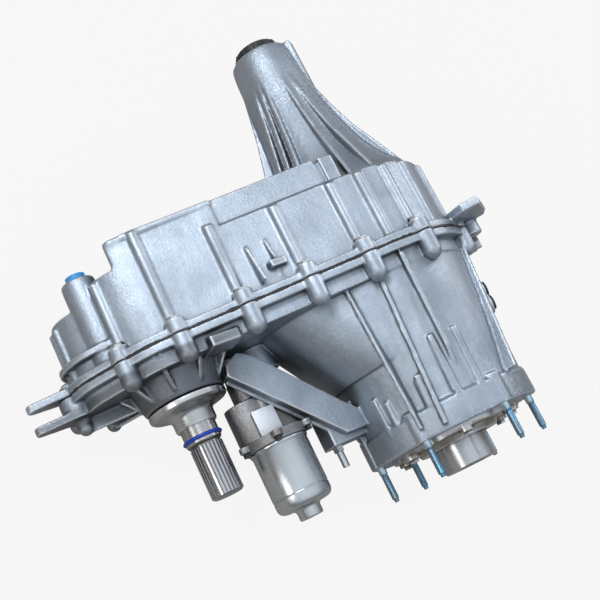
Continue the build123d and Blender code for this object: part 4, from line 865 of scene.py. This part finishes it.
replaced = {
    "motor_can": makeCan(canLook),
    "output_slinger": makeSlinger(slingerLook),
    "output_oring": makeOilRing(ringLook),
    "mounting_studs": makeStuds(studLook),
    "seam_gasket": makeSealant(sealantLook),
}
for nodeName, piece in replaced.items():
    dress(piece, nodeName, finishes[slotOf[nodeName]])
print("turned pieces made")


padLook = {"size": (0.027, 0.029, 0.0030), "place": (-0.2005, 0.0945, -0.0064), "bevel": 0.0006,
           "smoothAngle": 30.0}


def makePad(look):
    # the light machined pad on the gearbox
    piece = addBlock("gearboxPad", look["size"], look["place"])
    bevelAll(piece, look["bevel"])
    smoothByAngle(piece, look["smoothAngle"])
    piece.data.materials.append(padMaterial)
    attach(piece, bodyOf["motor_gearbox"])


makePad(padLook)

# the rest of the CAD nodes keep their shape and get their finish
ownFinish = {"front_output_shaft": "output_shaft"}
for nodeName, node in nodes.items():
    if nodeName in castings or nodeName in replaced:
        continue
    node.data.materials.clear()
    node.data.materials.append(finishes[ownFinish.get(nodeName, slotOf[nodeName])])
print("nodes finished")


# ---- floor, light and camera ----

stageLook = {
    "floorSize": 6.0,
    "floorPlace": (0, 0.2),
    "floorGap": 0.0002,
    "floorColor": (0.34, 0.31, 0.28),
    "whiteShare": 0.90,
    "glossyShare": 0.10,
    "skyTop": (0.84, 0.92, 1.0),
    "skySide": (0.10, 0.10, 0.11),
    "skySpan": (0.15, 0.95),
    "skyStrength": 0.95,
}


def whiteForEye(tree, place, glossyShare):
    # 1 for rays that show the background, so it looks white without more light on the object
    path = addNode(tree, "ShaderNodeLightPath", place)
    eye = combined(tree, (place[0] + 200, place[1]), "MAXIMUM",
                   path.outputs["Is Camera Ray"], path.outputs["Is Transmission Ray"])
    glossy = combined(tree, (place[0] + 200, place[1] - 200), "MULTIPLY",
                      path.outputs["Is Glossy Ray"], glossyShare)
    return combined(tree, (place[0] + 400, place[1]), "MAXIMUM", eye, glossy)


def blendedOutput(tree, outputKind, share, first, second):
    # mixes two shaders by the share and makes them the surface
    mix = addNode(tree, "ShaderNodeMixShader", (600, 0))
    for socket, source in zip(mix.inputs, (share, first, second)):
        tree.links.new(source, socket)
    out = addNode(tree, outputKind, (900, 0))
    tree.links.new(mix.outputs[0], out.inputs["Surface"])


def makeFloor(look):
    bpy.ops.mesh.primitive_plane_add(size=look["floorSize"],
                                     location=(*look["floorPlace"], cadLow.z - look["floorGap"]))
    floor = bpy.context.object
    floor.name = "floor"
    material = bpy.data.materials.new("paleFloor")
    material.use_nodes = True
    tree = material.node_tree
    tree.nodes.clear()
    matte = addNode(tree, "ShaderNodeBsdfDiffuse", (0, 0), {"Color": (*look["floorColor"], 1)})
    glow = addNode(tree, "ShaderNodeEmission", (0, -200), {"Color": (1, 1, 1, 1), "Strength": 1.0})
    white = whiteForEye(tree, (-600, 300), look["glossyShare"])
    share = combined(tree, (200, 200), "MULTIPLY", white, look["whiteShare"])
    blendedOutput(tree, "ShaderNodeOutputMaterial", share, matte.outputs[0], glow.outputs[0])
    floor.data.materials.append(material)


def makeWorld(look):
    world = bpy.data.worlds.new("studio")
    bpy.context.scene.world = world
    world.use_nodes = True
    tree = world.node_tree
    tree.nodes.clear()
    spot = addNode(tree, "ShaderNodeTexCoord", (-900, 0))
    split = addNode(tree, "ShaderNodeSeparateXYZ", (-700, 0))
    tree.links.new(spot.outputs["Generated"], split.inputs[0])
    height = scaled(tree, (-500, 0), split.outputs["Z"], 0.0, 1.0, *look["skySpan"])
    color = mixColor(tree, (-200, 0), height, look["skySide"], look["skyTop"])
    soft = addNode(tree, "ShaderNodeBackground", (200, 0), {"Strength": look["skyStrength"]})
    tree.links.new(color, soft.inputs["Color"])
    white = addNode(tree, "ShaderNodeBackground", (200, -200), {"Color": (1, 1, 1, 1), "Strength": 1.0})
    share = whiteForEye(tree, (-300, 400), look["glossyShare"])
    blendedOutput(tree, "ShaderNodeOutputWorld", share, soft.outputs[0], white.outputs[0])


lamps = {
    "skyPanel": {"place": (-0.9, 1.1, 1.5), "size": 0.7, "power": 12.5, "color": (0.90, 0.95, 1.0)},
    "sidePanel": {"place": (1.3, 0.7, 0.8), "size": 0.6, "power": 5.0, "color": (0.98, 0.98, 1.0)},
    "frontPanel": {"place": (-1.4, 0.1, 0.6), "size": 0.4, "power": 2.0, "color": (1.0, 0.97, 0.93)},
}


def makeLamps():
    middle = (cadLow + cadHigh) / 2
    for name, look in lamps.items():
        bpy.ops.object.light_add(type="AREA", location=look["place"])
        lamp = bpy.context.object
        lamp.name = name
        lamp.data.size = look["size"]
        lamp.data.energy = look["power"]
        lamp.data.color = look["color"]
        lamp.rotation_euler = (middle - Vector(look["place"])).to_track_quat("-Z", "Y").to_euler()


cameraLook = {
    "place": (-0.63914, -0.06747, 0.98408),
    "turnDegrees": (25.203, -19.552, -27.527),
    "lens": 60.975,
    "sensor": 36.0,
}


def makeCamera(look):
    turn = [math.radians(degrees) for degrees in look["turnDegrees"]]
    bpy.ops.object.camera_add(location=look["place"], rotation=turn)
    camera = bpy.context.object
    camera.data.lens = look["lens"]
    camera.data.sensor_width = look["sensor"]
    bpy.context.scene.camera = camera


makeFloor(stageLook)
makeWorld(stageLook)
makeLamps()
makeCamera(cameraLook)
bpy.context.scene.view_settings.view_transform = "Standard"
print("floor, light and camera placed")
